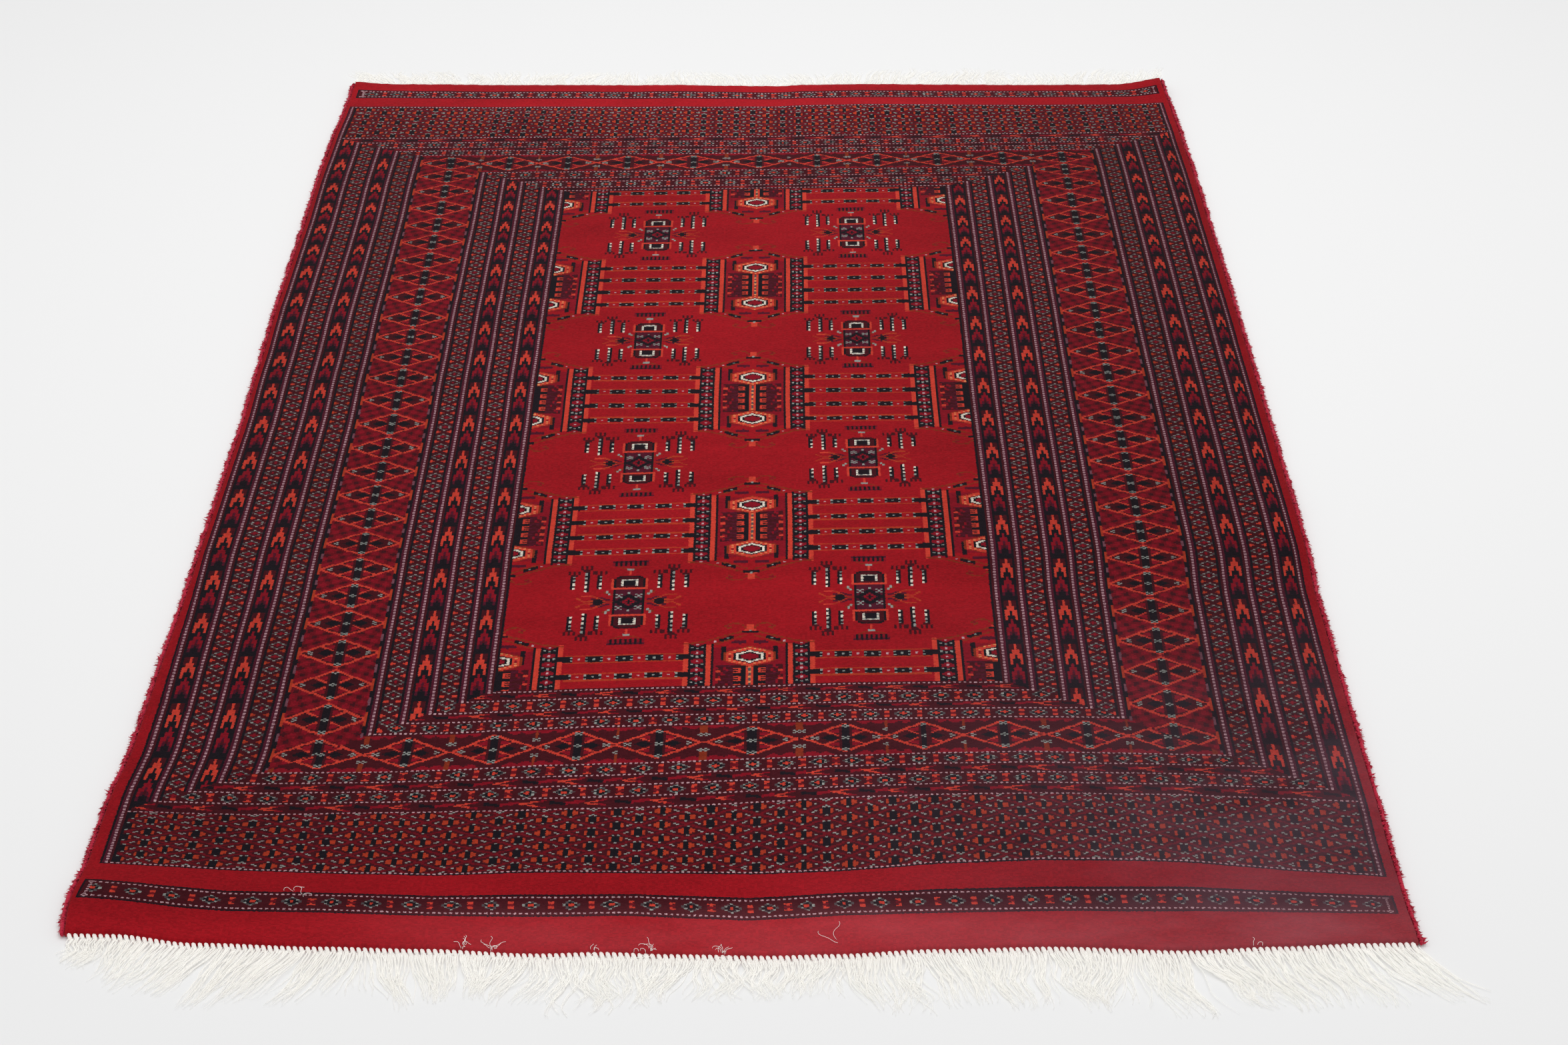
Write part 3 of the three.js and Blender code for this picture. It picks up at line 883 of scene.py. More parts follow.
UNDER = [0, 3, 2, 1]  # the same corners, counter-clockwise from below
RIM_READ = 0.4  # how far in from the border the rim reads its yarns, in knots
cells = cells_x * cells_y
cell = np.arange(cells).reshape(cells_y, cells_x)
beside = np.concatenate([cell[0, :], cell[:, -1], cell[-1, ::-1], cell[::-1, 0]])
turns = len(rings) - 1
quads = np.concatenate(
    [grid_quads(top_index)]
    + [np.stack([upper, lower, np.roll(lower, -1), np.roll(upper, -1)], 1)
       for upper, lower in zip(rings, rings[1:])]
    + [grid_quads(low_index)[:, UNDER]])
face_corners = np.tile([[0, 0], [KNOTS_X, 0], [KNOTS_X, KNOTS_Y], [0, KNOTS_Y]], (cells, 1, 1))
right_read, far_read = KNOTS_X - RIM_READ, KNOTS_Y - RIM_READ
rim_ends = np.concatenate([  # near, right, far and left, as the border runs
    np.tile([[0, RIM_READ], [KNOTS_X, RIM_READ]], (cells_x, 1, 1)),
    np.tile([[right_read, 0], [right_read, KNOTS_Y]], (cells_y, 1, 1)),
    np.tile([[KNOTS_X, far_read], [0, far_read]], (cells_x, 1, 1)),
    np.tile([[RIM_READ, KNOTS_Y], [RIM_READ, 0]], (cells_y, 1, 1))])
in_face = np.concatenate([face_corners] + [rim_ends[:, [0, 0, 1, 1]]] * turns
                         + [face_corners[:, UNDER]]).astype(np.float32)
# the number of each face's first knot, so that every knot can have its own shade
first = np.stack(np.meshgrid(np.arange(cells_x) * KNOTS_X, np.arange(cells_y) * KNOTS_Y), -1)
first = first.reshape(-1, 2)
firsts = np.concatenate([first] + [first[beside]] * turns + [first])[:, None, :]
held = packed.reshape(-1, 3)
held = np.concatenate([held] + [held[beside]] * turns + [held])
slots = np.concatenate([np.zeros(cells + len(beside) * turns, int), np.ones(cells, int)])
print("faces of the cloth", len(quads), "round the rim", len(beside) * turns)

# %% The cloth as one mesh
cloth = bpy.data.meshes.new("knotted_pile")
cloth.vertices.add(len(points))
cloth.vertices.foreach_set("co", points.ravel())
cloth.loops.add(quads.size)
cloth.loops.foreach_set("vertex_index", quads.ravel())
cloth.polygons.add(len(quads))
cloth.polygons.foreach_set("loop_start", np.arange(len(quads)) * 4)
cloth.polygons.foreach_set("material_index", slots)
cloth.polygons.foreach_set("use_smooth", np.ones(len(quads), bool))
cloth.uv_layers.new(name="in_face").data.foreach_set("uv", in_face.ravel())
whole = (in_face + firsts).astype(np.float32)
cloth.uv_layers.new(name="knots").data.foreach_set("uv", whole.ravel())
yarns = cloth.attributes.new("yarns", "FLOAT_VECTOR", "FACE")
yarns.data.foreach_set("vector", held.ravel())
cloth.update(calc_edges=True)
cloth.validate()
carpet = bpy.data.objects.new("knotted_pile", cloth)
bpy.context.scene.collection.objects.link(carpet)
print("cloth edges", len(cloth.edges))

# %% [markdown]
# ## Wool
# The pile is hand-spun wool, dyed in the yarn and sheared. Sheared wool is matt, with a soft sheen
# when it is seen along the nap, and each knot takes the dye a little differently. Colours are
# written as sRGB hex values and turned to linear by one function, and the scale of each texture is
# worked out from the size of what it stands for.


# %% Colour and node helpers
def linear(hex_colour):
    """An sRGB hex value as linear red, green, blue and alpha."""
    channels = [int(hex_colour[i:i + 2], 16) / 255 for i in (1, 3, 5)]
    return tuple(c / 12.92 if c <= 0.04045 else ((c + 0.055) / 1.055) ** 2.4
                 for c in channels) + (1.0,)


METRE = 1000.0  # from one lump of a noise to the next at scale 1
WAVE = METRE * math.pi / 10  # from one band of a wave to the next at scale 1


def scale_for(size, unit):
    """Scale of a texture whose lumps or bands are size millimetres apart, to two figures."""
    return float(f"{unit / size:.2g}")


def add_node(tree, kind, settings=None, links=None):
    """One node with its settings, and its sockets set to values or linked to other sockets."""
    made = tree.nodes.new(kind)
    for name, value in (settings or {}).items():
        setattr(made, name, value)
    for socket, value in (links or {}).items():
        if isinstance(value, bpy.types.NodeSocket):
            tree.links.new(value, made.inputs[socket])
        else:
            made.inputs[socket].default_value = value
    return made


def new_material(name):
    """An empty material and its node tree."""
    made = bpy.data.materials.new(name)
    made.use_nodes = True
    made.node_tree.nodes.clear()
    return made, made.node_tree


yarn_colours = {
    "red": "#961C23", "maroon": "#42131A", "plum": "#4C1626", "crimson": "#801824",
    "orange": "#C34236", "black": "#17141A", "grey": "#8C908B", "pink": "#B8949A",
    "brown": "#80301F", "cream": "#D8CFC0", "mauve": "#6C4550", "wine": "#68151E",
    "slate": "#4C4648", "apricot": "#D88A5C", "rust": "#A63B29"}
print("yarns in their colours", len(yarn_colours))

# %% [markdown]
# ## Sums in the wool
# The material finds the knot under each point, unpacks its yarn's number and shades it: each knot,
# each skein and each brushed streak a little lighter or darker. The sums that do this are listed
# first, one maths node a line. A word in a line is a texture, or a sum that stands before it.

# %% Which yarn a point shows
unpacking_sums = (
    # the edge between two knots wanders by up to about a quarter of a knot, as tufts lean
    ("off across", "SUBTRACT", "stray across", 0.5),
    ("wander across", "MULTIPLY", "off across", 1.2),
    ("moved across", "ADD", "face across", "wander across"),
    ("kept across", "MAXIMUM", "moved across", 0.001),
    ("across", "MINIMUM", "kept across", KNOTS_X - 0.001),
    ("off along", "SUBTRACT", "stray along", 0.5),
    ("wander along", "MULTIPLY", "off along", 1.5),
    ("moved along", "ADD", "face along", "wander along"),
    ("kept along", "MAXIMUM", "moved along", 0.001),
    ("along", "MINIMUM", "kept along", KNOTS_Y - 0.001),
    # the packed number of the knot's column, out of three
    ("past first", "GREATER_THAN", "across", 1.0),
    ("past second", "GREATER_THAN", "across", 2.0),
    ("in first", "SUBTRACT", 1.0, "past first"),
    ("in second", "SUBTRACT", "past first", "past second"),
    ("from first", "MULTIPLY", "column 1", "in first"),
    ("from second", "MULTIPLY", "column 2", "in second"),
    ("from third", "MULTIPLY", "column 3", "past second"),
    ("from two", "ADD", "from first", "from second"),
    ("column", "ADD", "from two", "from third"),
    # its digit at the knot's row, and that digit's stop on the ramp of yarns
    ("row", "FLOOR", "along"),
    ("power", "POWER", float(BASE), "row"),
    ("safe column", "ADD", "column", 0.5),
    ("divided", "DIVIDE", "safe column", "power"),
    ("shifted", "FLOOR", "divided"),
    ("safe shifted", "ADD", "shifted", 0.5),
    ("rest", "DIVIDE", "safe shifted", float(BASE)),
    ("above", "FLOOR", "rest"),
    ("above in full", "MULTIPLY", "above", float(BASE)),
    ("yarn", "SUBTRACT", "shifted", "above in full"),
    ("middle of stop", "ADD", "yarn", 0.5),
    ("stop", "DIVIDE", "middle of stop", float(BASE)))
print("sums that unpack a yarn", len(unpacking_sums))

# %% How light a point is
# the fades are painted sheen and shade of the brushed nap; its streaks vary the colour at random
fades = (  # name, axis, where it starts and ends in metres, and its two values
    ("painted sheen across", 0, -0.65, 0.05, 0.86, 1.06),
    ("painted sheen near", 1, -0.855, -0.895, 1.0, 1.28),  # painted sheen: lighter along both ends, where the pile lies to the light
    ("painted sheen far", 1, 0.66, 0.84, 1.0, 1.35),
    ("right", 0, -0.05, 0.62, 0.0, 1.0),
    ("close", 1, -0.3, -0.9, 0.0, 1.0),
    ("strip", 0, -0.50, -0.10, 0.0, 0.42))
shading_sums = (
    ("dye share", "MULTIPLY", "dye", 0.26),
    ("dyed shade", "ADD", 0.50, "dye share"),
    ("skein share", "MULTIPLY", "skein", 0.20),
    ("skein shade", "ADD", "dyed shade", "skein share"),
    ("streak share", "MULTIPLY", "streak", 0.38),
    ("streaked shade", "ADD", "skein shade", "streak share"),
    ("fibre off", "SUBTRACT", "fibre", 0.5),
    ("fibre share", "MULTIPLY", "fibre off", 0.5),
    ("flat shade", "ADD", "streaked shade", "fibre share"),
    # the three fades multiplied into one factor of painted sheen and shade
    ("painted sheen near end", "MULTIPLY", "painted sheen across", "painted sheen near"),
    ("lean", "MULTIPLY", "painted sheen near end", "painted sheen far"),
    ("shade with painted sheen", "MULTIPLY", "flat shade", "lean"),
    # to the right the tips lean away from the eye: painted shade there, darker
    ("painted shade depth", "MULTIPLY", "right", 0.28),
    ("painted shade right", "SUBTRACT", 1.0, "painted shade depth"),
    ("shade", "MULTIPLY", "shade with painted sheen", "painted shade right"),
    # a pale painted sheen near the right corner of the near end
    ("corner", "MULTIPLY", "right", "close"),
    ("painted sheen strength", "MULTIPLY", "streak", 0.40),
    ("painted sheen haze", "MULTIPLY", "corner", "painted sheen strength"),
    # painted sheen: the brushed strip along the near end looks pink where the eye meets the tips
    ("lit", "SUBTRACT", "painted sheen near", 1.0),
    ("lit strip", "MULTIPLY", "lit", "strip"),
    ("strong streak", "MULTIPLY", "streak", 2.0),
    ("pink", "MULTIPLY", "lit strip", "strong streak"))
face_sums = (
    ("coarse fibre", "MULTIPLY", "fibre", 0.7),
    ("knot height", "MULTIPLY", "dye", 0.3),
    ("height", "ADD", "coarse fibre", "knot height"))
# on the back a knot shows as a flat loop of yarn, with the weft sunk between the rows
back_sums = (
    ("turn across", "MULTIPLY", "loop across", math.pi),
    ("arch across", "SINE", "turn across"),
    ("turn along", "MULTIPLY", "loop along", math.pi),
    ("arch along", "SINE", "turn along"),
    ("height", "MULTIPLY", "arch across", "arch along"))
print("fades", len(fades), "sums that shade a knot", len(shading_sums))

# %% [markdown]
# ## The two faces of the wool
# Both faces are the same chart. The pile has the relief of its fibres and a soft sheen, and the
# back is flatter and duller. Noises give the stray of the tufts, the dye of each knot and each
# skein, the streaks and the fibre.


# %% The knotted wool
def wool_tree(name, back):
    """Wool that unpacks its yarn from the chart, for the pile or for the back."""
    made, tree = new_material(name)
    value = {}

    def keep(names, outputs):
        value.update(zip(names, outputs))

    local = add_node(tree, "ShaderNodeUVMap", {"uv_map": "in_face"}).outputs[0]
    knots = add_node(tree, "ShaderNodeUVMap", {"uv_map": "knots"}).outputs[0]
    spot = add_node(tree, "ShaderNodeTexCoord").outputs["Object"]
    at = add_node(tree, "ShaderNodeSeparateXYZ", {}, {0: local})
    keep(("face across", "face along"), at.outputs)
    stray = add_node(tree, "ShaderNodeTexNoise", {"noise_dimensions": "2D"},
                     {"Vector": knots, "Scale": scale_for(2.5, KNOT_WIDE), "Detail": 2.0})
    lean = add_node(tree, "ShaderNodeSeparateXYZ", {}, {0: stray.outputs["Color"]})
    keep(("stray across", "stray along"), lean.outputs)
    yarns = add_node(tree, "ShaderNodeAttribute", {"attribute_name": "yarns"})
    three = add_node(tree, "ShaderNodeSeparateXYZ", {}, {0: yarns.outputs["Vector"]})
    keep(("column 1", "column 2", "column 3"), three.outputs)
    # each knot takes the dye a little differently, and so does each skein along the rows
    count = add_node(tree, "ShaderNodeVectorMath", {"operation": "FLOOR"}, {0: knots}).outputs[0]
    dye = add_node(tree, "ShaderNodeTexWhiteNoise", {"noise_dimensions": "2D"}, {"Vector": count})
    skein_place = add_node(tree, "ShaderNodeVectorMath", {"operation": "MULTIPLY"}, {
        0: knots, 1: (scale_for(690, KNOT_WIDE), scale_for(47, KNOT_TALL), 1.0)}).outputs[0]
    skein = add_node(tree, "ShaderNodeTexNoise", {"noise_dimensions": "2D"},
                     {"Vector": skein_place, "Scale": 1.0, "Detail": 4.0, "Roughness": 0.6})
    fibre = add_node(tree, "ShaderNodeTexNoise", {"noise_dimensions": "3D"}, {
        "Vector": spot, "Scale": scale_for(1.43, METRE), "Detail": 3.0, "Roughness": 0.6})
    streak_place = add_node(tree, "ShaderNodeVectorMath", {"operation": "MULTIPLY"}, {
        0: spot, 1: (scale_for(200, METRE), scale_for(71, METRE), 0.0)}).outputs[0]
    streak = add_node(tree, "ShaderNodeTexNoise", {"noise_dimensions": "2D"},
                      {"Vector": streak_place, "Scale": 1.0, "Detail": 6.0, "Roughness": 0.62})
    keep(("dye", "skein", "fibre", "streak"),
         (dye.outputs["Value"], skein.outputs[0], fibre.outputs[0], streak.outputs[0]))
    if back:
        part = add_node(tree, "ShaderNodeVectorMath", {"operation": "FRACTION"}, {0: knots})
        loop = add_node(tree, "ShaderNodeSeparateXYZ", {}, {0: part.outputs[0]})
        keep(("loop across", "loop along"), loop.outputs)
    # the fades and the sums
    where = add_node(tree, "ShaderNodeSeparateXYZ", {}, {0: spot})
    for fade, axis, start, end, low, high in fades:
        value[fade] = add_node(tree, "ShaderNodeMapRange", {"interpolation_type": "SMOOTHSTEP"}, {
            0: where.outputs[axis], 1: start, 2: end, 3: low, 4: high}).outputs[0]
    for result, operation, *terms in (
            unpacking_sums + shading_sums + (back_sums if back else face_sums)):
        linked = {i: value.get(term, term) for i, term in enumerate(terms)}
        made_sum = add_node(tree, "ShaderNodeMath", {"operation": operation}, linked)
        value[result] = made_sum.outputs[0]
    # the yarn's colour, shaded, with painted sheen: pale at the right corner, pink at the near end
    ramp = add_node(tree, "ShaderNodeValToRGB", {}, {0: value["stop"]})
    ramp.color_ramp.interpolation = "CONSTANT"
    stops = ramp.color_ramp.elements
    while len(stops) < len(yarn_names):
        stops.new(1.0)
    for i, yarn in enumerate(yarn_names):
        stops[i].position = i / BASE
        stops[i].color = linear(yarn_colours[yarn])
    # the shade holds the painted sheen and shade of the fades as well as the dye
    dyed = add_node(tree, "ShaderNodeHueSaturation", {}, {
        "Color": ramp.outputs[0], "Value": value["shade"], "Saturation": 0.86 if back else 1.02})
    painted_pale_sheen = add_node(tree, "ShaderNodeMix", {"data_type": "RGBA"},
                     {0: value["painted sheen haze"], 6: dyed.outputs[0], 7: linear("#7C6672")})
    colour_with_painted_sheen = add_node(tree, "ShaderNodeMix", {"data_type": "RGBA"},
                    {0: value["pink"], 6: painted_pale_sheen.outputs[2], 7: linear("#C47880")})
    bump = add_node(tree, "ShaderNodeBump", {}, {
        "Height": value["height"], "Strength": 0.6 if back else 0.7,
        "Distance": 0.0008 if back else 0.0012})
    shader = add_node(tree, "ShaderNodeBsdfPrincipled", {}, {
        "Base Color": colour_with_painted_sheen.outputs[2], "Roughness": 0.95, "IOR": 1.54, "Specular IOR Level": 0.05,
        "Sheen Weight": 0.04 if back else 0.10, "Sheen Roughness": 0.4,
        "Sheen Tint": linear("#F0B8B8"), "Normal": bump.outputs[0]})
    add_node(tree, "ShaderNodeOutputMaterial", {}, {"Surface": shader.outputs[0]})
    return made


sheared_wool = wool_tree("sheared_knotted_wool", False)
woven_back = wool_tree("knotted_wool_seen_from_the_back", True)
carpet.data.materials.append(sheared_wool)
carpet.data.materials.append(woven_back)
print("wool materials", sheared_wool.name, woven_back.name)
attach(carpet, "root")
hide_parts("carpet")


# %% [markdown]
# ## Overcast sides
# The last warps on each side are wrapped over and over in red wool. The turns lie side by side, a
# little uneven where the wool was joined, so the cord is a swept tube with a ridge for each turn.

# %% Build a tube from rings
def tube_faces(rings, first):
    """Faces of a tube from equal rings of points, numbered from first: its sides and two caps."""
    count, sides = rings.shape[:2]
    index = first + np.arange(count * sides).reshape(count, sides)
    turned = np.roll(index, -1, axis=1)
    quads = np.stack([index[:-1], turned[:-1], turned[1:], index[1:]], -1).reshape(-1, 4)
    return quads.tolist() + [index[0, ::-1].tolist(), index[-1].tolist()]


def mesh_from(name, points, faces, smooth):
    """A mesh from points in millimetres, with its first faces shaded smooth."""
    mesh = bpy.data.meshes.new(name)
    mesh.from_pydata((points / 1000).tolist(), [], faces)
    mesh.polygons.foreach_set("use_smooth", np.arange(len(faces)) < smooth)
    mesh.update()
    return mesh


def tufted_tube(name, rings, tufts):
    """A tube, and tufts of three feet and a tip."""
    faces = tube_faces(rings, 0)
    first = rings.shape[0] * rings.shape[1] + 4 * np.arange(len(tufts))
    for one, other in ((0, 1), (1, 2), (2, 0)):
        faces += np.stack([first + one, first + other, first + 3], 1).tolist()
    points = np.concatenate([rings.reshape(-1, 3), tufts.reshape(-1, 3)])
    # the tube is shaded smooth, and the tufts flat, so that thin spikes don't turn dark
    return mesh_from(name, points, faces, (rings.shape[0] - 1) * rings.shape[1])


# %% The wrapped cord of one side
CORD_STEPS, CORD_SIDES = 1500, 10
TURN_PITCH = 3.4  # from one ridge of the wrapping to the next
CORD_TUFTS, TUFT_GROUPS = 7000, 900


def side_edge(side, y):
    return left_edge(y) if side < 0 else right_edge(y)


def overcast_side(name, side):
    """The wrapped cord of one side, from the near end to the far end."""
    draws = np.random.default_rng(31 if side < 0 else 47)
    along = np.linspace(-1, 1, CORD_STEPS)
    edge = side_edge(side, along * HALF_LENGTH)
    near, far = near_edge(edge), far_edge(edge)
    y = near + (far - near) * (along + 1) / 2
    edge = side_edge(side, y)
    turn = y / TURN_PITCH * 2 * math.pi
    lump = np.interp(y, np.linspace(-930, 930, 260), draws.normal(0, 0.22, 260))
    sway = np.interp(y, np.linspace(-930, 930, 120), draws.normal(0, 0.30, 120))
    middle_x = edge + side * (CORD_WIDTH / 2 + PIECE_GAP) + sway
    middle_z = lift_at(edge, y) + CORD_HEIGHT / 2
    taper = np.minimum(1, (1 - np.abs(along)) * 220 + 0.55)
    rings = []
    for k in range(CORD_SIDES):
        angle = 2 * math.pi * k / CORD_SIDES
        ridge = 0.16 * np.sin(turn + angle * 0.9)
        wide = (CORD_WIDTH / 2 - 0.15 + lump + ridge) * taper
        tall = (CORD_HEIGHT / 2 + 0.3 * lump + ridge) * taper
        rings.append(np.stack([
            middle_x + wide * math.cos(angle), y,
            np.maximum(middle_z + tall * math.sin(angle), lift_at(edge, y))], 1))
    # wool of the wrapping and of the last pile knots stands out in small groups
    count = CORD_TUFTS
    groups = draws.uniform(-0.998, 0.998, TUFT_GROUPS)
    at = np.clip(draws.choice(groups, count) + draws.normal(0, 0.0012, count), -0.999, 0.999)
    over = draws.uniform(-2.6, 1.8, count)  # from the pile's rim out over the cord
    y0 = np.interp(at, along, y)
    x0 = np.interp(at, along, middle_x) + side * over
    z0 = np.interp(at, along, middle_z) + np.interp(over, [-2.6, 1.8], [4.2, 0.8])
    z0 = z0 - draws.uniform(0, 2.0, count)
    long = np.minimum(draws.gamma(4.0, 0.75, count) + 0.8, 6.0)
    swing, rise = draws.normal(0, 0.6, count), draws.normal(-0.15, 0.3, count)
    tip = np.stack([x0 + side * long * np.cos(swing), y0 + long * np.sin(swing),
                    z0 + long * rise], 1)
    tip[:, 2] = np.maximum(tip[:, 2], 0.4)
    foot = np.stack([x0, y0, z0], 1)
    corners = [foot + draws.normal(0, 0.9, (count, 3)) for _ in range(3)]
    for corner in corners:
        corner[:, 2] = np.maximum(corner[:, 2], 0.2)
    return tufted_tube(name, np.stack(rings, 1), np.stack(corners + [tip], 1))


# %% [markdown]
# ## Wool of the overcast sides
# The wrapping yarn is the same red wool, spun and not cut, so it shows thin turns with shade
# between them and a soft halo of fibre. A striped wave of the yarn's own width, 3.3 mm, gives the
# turns, a cloudy noise of 17 mm gives the uneven dye, and the rest is dull with a little sheen.

# %% Overcast wool
wrapped, wrap_tree = new_material("overcast_wool_yarn")
place = add_node(wrap_tree, "ShaderNodeTexCoord").outputs["Object"]
strands = add_node(wrap_tree, "ShaderNodeTexWave", {"wave_type": "BANDS", "bands_direction": "Y"}, {
    "Vector": place, "Scale": scale_for(3.3, WAVE), "Distortion": 2.5, "Detail": 2.0,
    "Detail Scale": 3.0})
patchy = add_node(wrap_tree, "ShaderNodeTexNoise", {},
                  {"Vector": place, "Scale": scale_for(16.7, METRE), "Detail": 5.0})
blend = add_node(wrap_tree, "ShaderNodeMix", {"data_type": "RGBA"},
                 {0: patchy.outputs[0], 6: linear("#A41A32"), 7: linear("#CC2E48")})
shadow = add_node(wrap_tree, "ShaderNodeMix", {"data_type": "RGBA", "blend_type": "MULTIPLY"},
                  {0: 0.05, 6: blend.outputs[2], 7: strands.outputs[0]})
relief = add_node(wrap_tree, "ShaderNodeBump", {},
                  {"Height": strands.outputs[1], "Strength": 0.6, "Distance": 0.0006})
wrap_shader = add_node(wrap_tree, "ShaderNodeBsdfPrincipled", {}, {
    "Base Color": shadow.outputs[2], "Roughness": 0.9, "Specular IOR Level": 0.15,
    "Sheen Weight": 0.2, "Sheen Roughness": 0.4, "Normal": relief.outputs[0]})
add_node(wrap_tree, "ShaderNodeOutputMaterial", {}, {"Surface": wrap_shader.outputs[0]})

# %% Both cords
for side, node in ((-1, "selvedge_left"), (1, "selvedge_right")):
    cord = bpy.data.objects.new("overcast_" + node.split("_")[1], overcast_side(node, side))
    bpy.context.scene.collection.objects.link(cord)
    cord.data.materials.append(wrapped)
    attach(cord, "root")
    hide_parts(node)
    print(cord.name, len(cord.data.polygons), "faces")

# %% [markdown]
# ## Fringe
# The warps are knotted in small overhand knots against the pile, and their ends lie on the floor as
# they fell. Each knot is a short slanted bead, and crinkled cotton yarns come out of it, five at
# the near end and four at the far end, where fewer show. All of an end's yarns are joined into one
# mesh, swept along lines that follow the lay seen in the photograph.

# %% How the fringe lies
near_lay = np.array([  # across the rug, lean of the tips, reach out from the edge
    (-650, -7, 40), (-600, -12, 54), (-540, -30, 76), (-470, -40, 80), (-400, -30, 78),
    (-366, -12, 68), (-350, 22, 68), (-310, 16, 84), (-215, -18, 64), (-170, -6, 78),
    (-90, 2, 80), (-20, -4, 62), (85, -18, 60), (104, 12, 62), (141, 2, 80), (250, 14, 84),
    (300, 4, 88), (370, -14, 84), (390, 20, 84), (440, 34, 86), (500, 26, 84), (560, 34, 84),
    (610, 34, 76), (650, 52, 78)], float)
far_lay = np.array([
    (-650, -12, 66), (-560, -20, 76), (-420, -6, 72), (-300, 12, 80), (-180, 4, 70),
    (-60, -14, 78), (80, -4, 72), (200, 14, 80), (340, 20, 84), (460, 6, 74), (560, 16, 80),
    (650, 22, 78)], float)
loose_wisps = [  # place across and along the rug, length and number of the fine ends on the pile
    (96, -914, 28, 2), (-12, -927, 13, 18), (-85, -925, 15, 14), (-140, -926, 12, 6),
    (-232, -922, 16, 6), (-258, -919, 13, 6), (495, -920, 13, 3), (-434, -850, 15, 2),
    (-424, -853, 12, 2)]
KNOTS_PER_END = 212
YARN_THICK = 1.5
print("warp knots are", round(2 * HALF_WIDTH / KNOTS_PER_END, 2), "mm apart")


# %% Sweep a yarn along its path
def yarn_rings(path, radius, sides=3):
    """Rings of points along a path, with a radius for each point."""
    ahead = np.gradient(path, axis=0)
    ahead /= np.linalg.norm(ahead, axis=1)[:, None]
    flat = np.cross(ahead, (0, 0, 1.0))
    flat /= np.maximum(np.linalg.norm(flat, axis=1)[:, None], 1e-6)
    upward = np.cross(flat, ahead)
    angles = np.arange(sides) * 2 * math.pi / sides + math.pi / 2
    return np.stack([path + radius[:, None] * (math.cos(a) * flat + math.sin(a) * upward)
                     for a in angles], 1)


# %% Beads and yarns of one end
BEAD_LIFT = np.array([4.6, 4.6, 4.2, 3.6, 2.9, 2.2])  # from the pile down to the floor
BEAD_RADIUS = np.array([0.9, 1.8, 2.2, 2.1, 1.8, 1.0])
WISP_STEPS, WISP_RADIUS = 12, 0.22


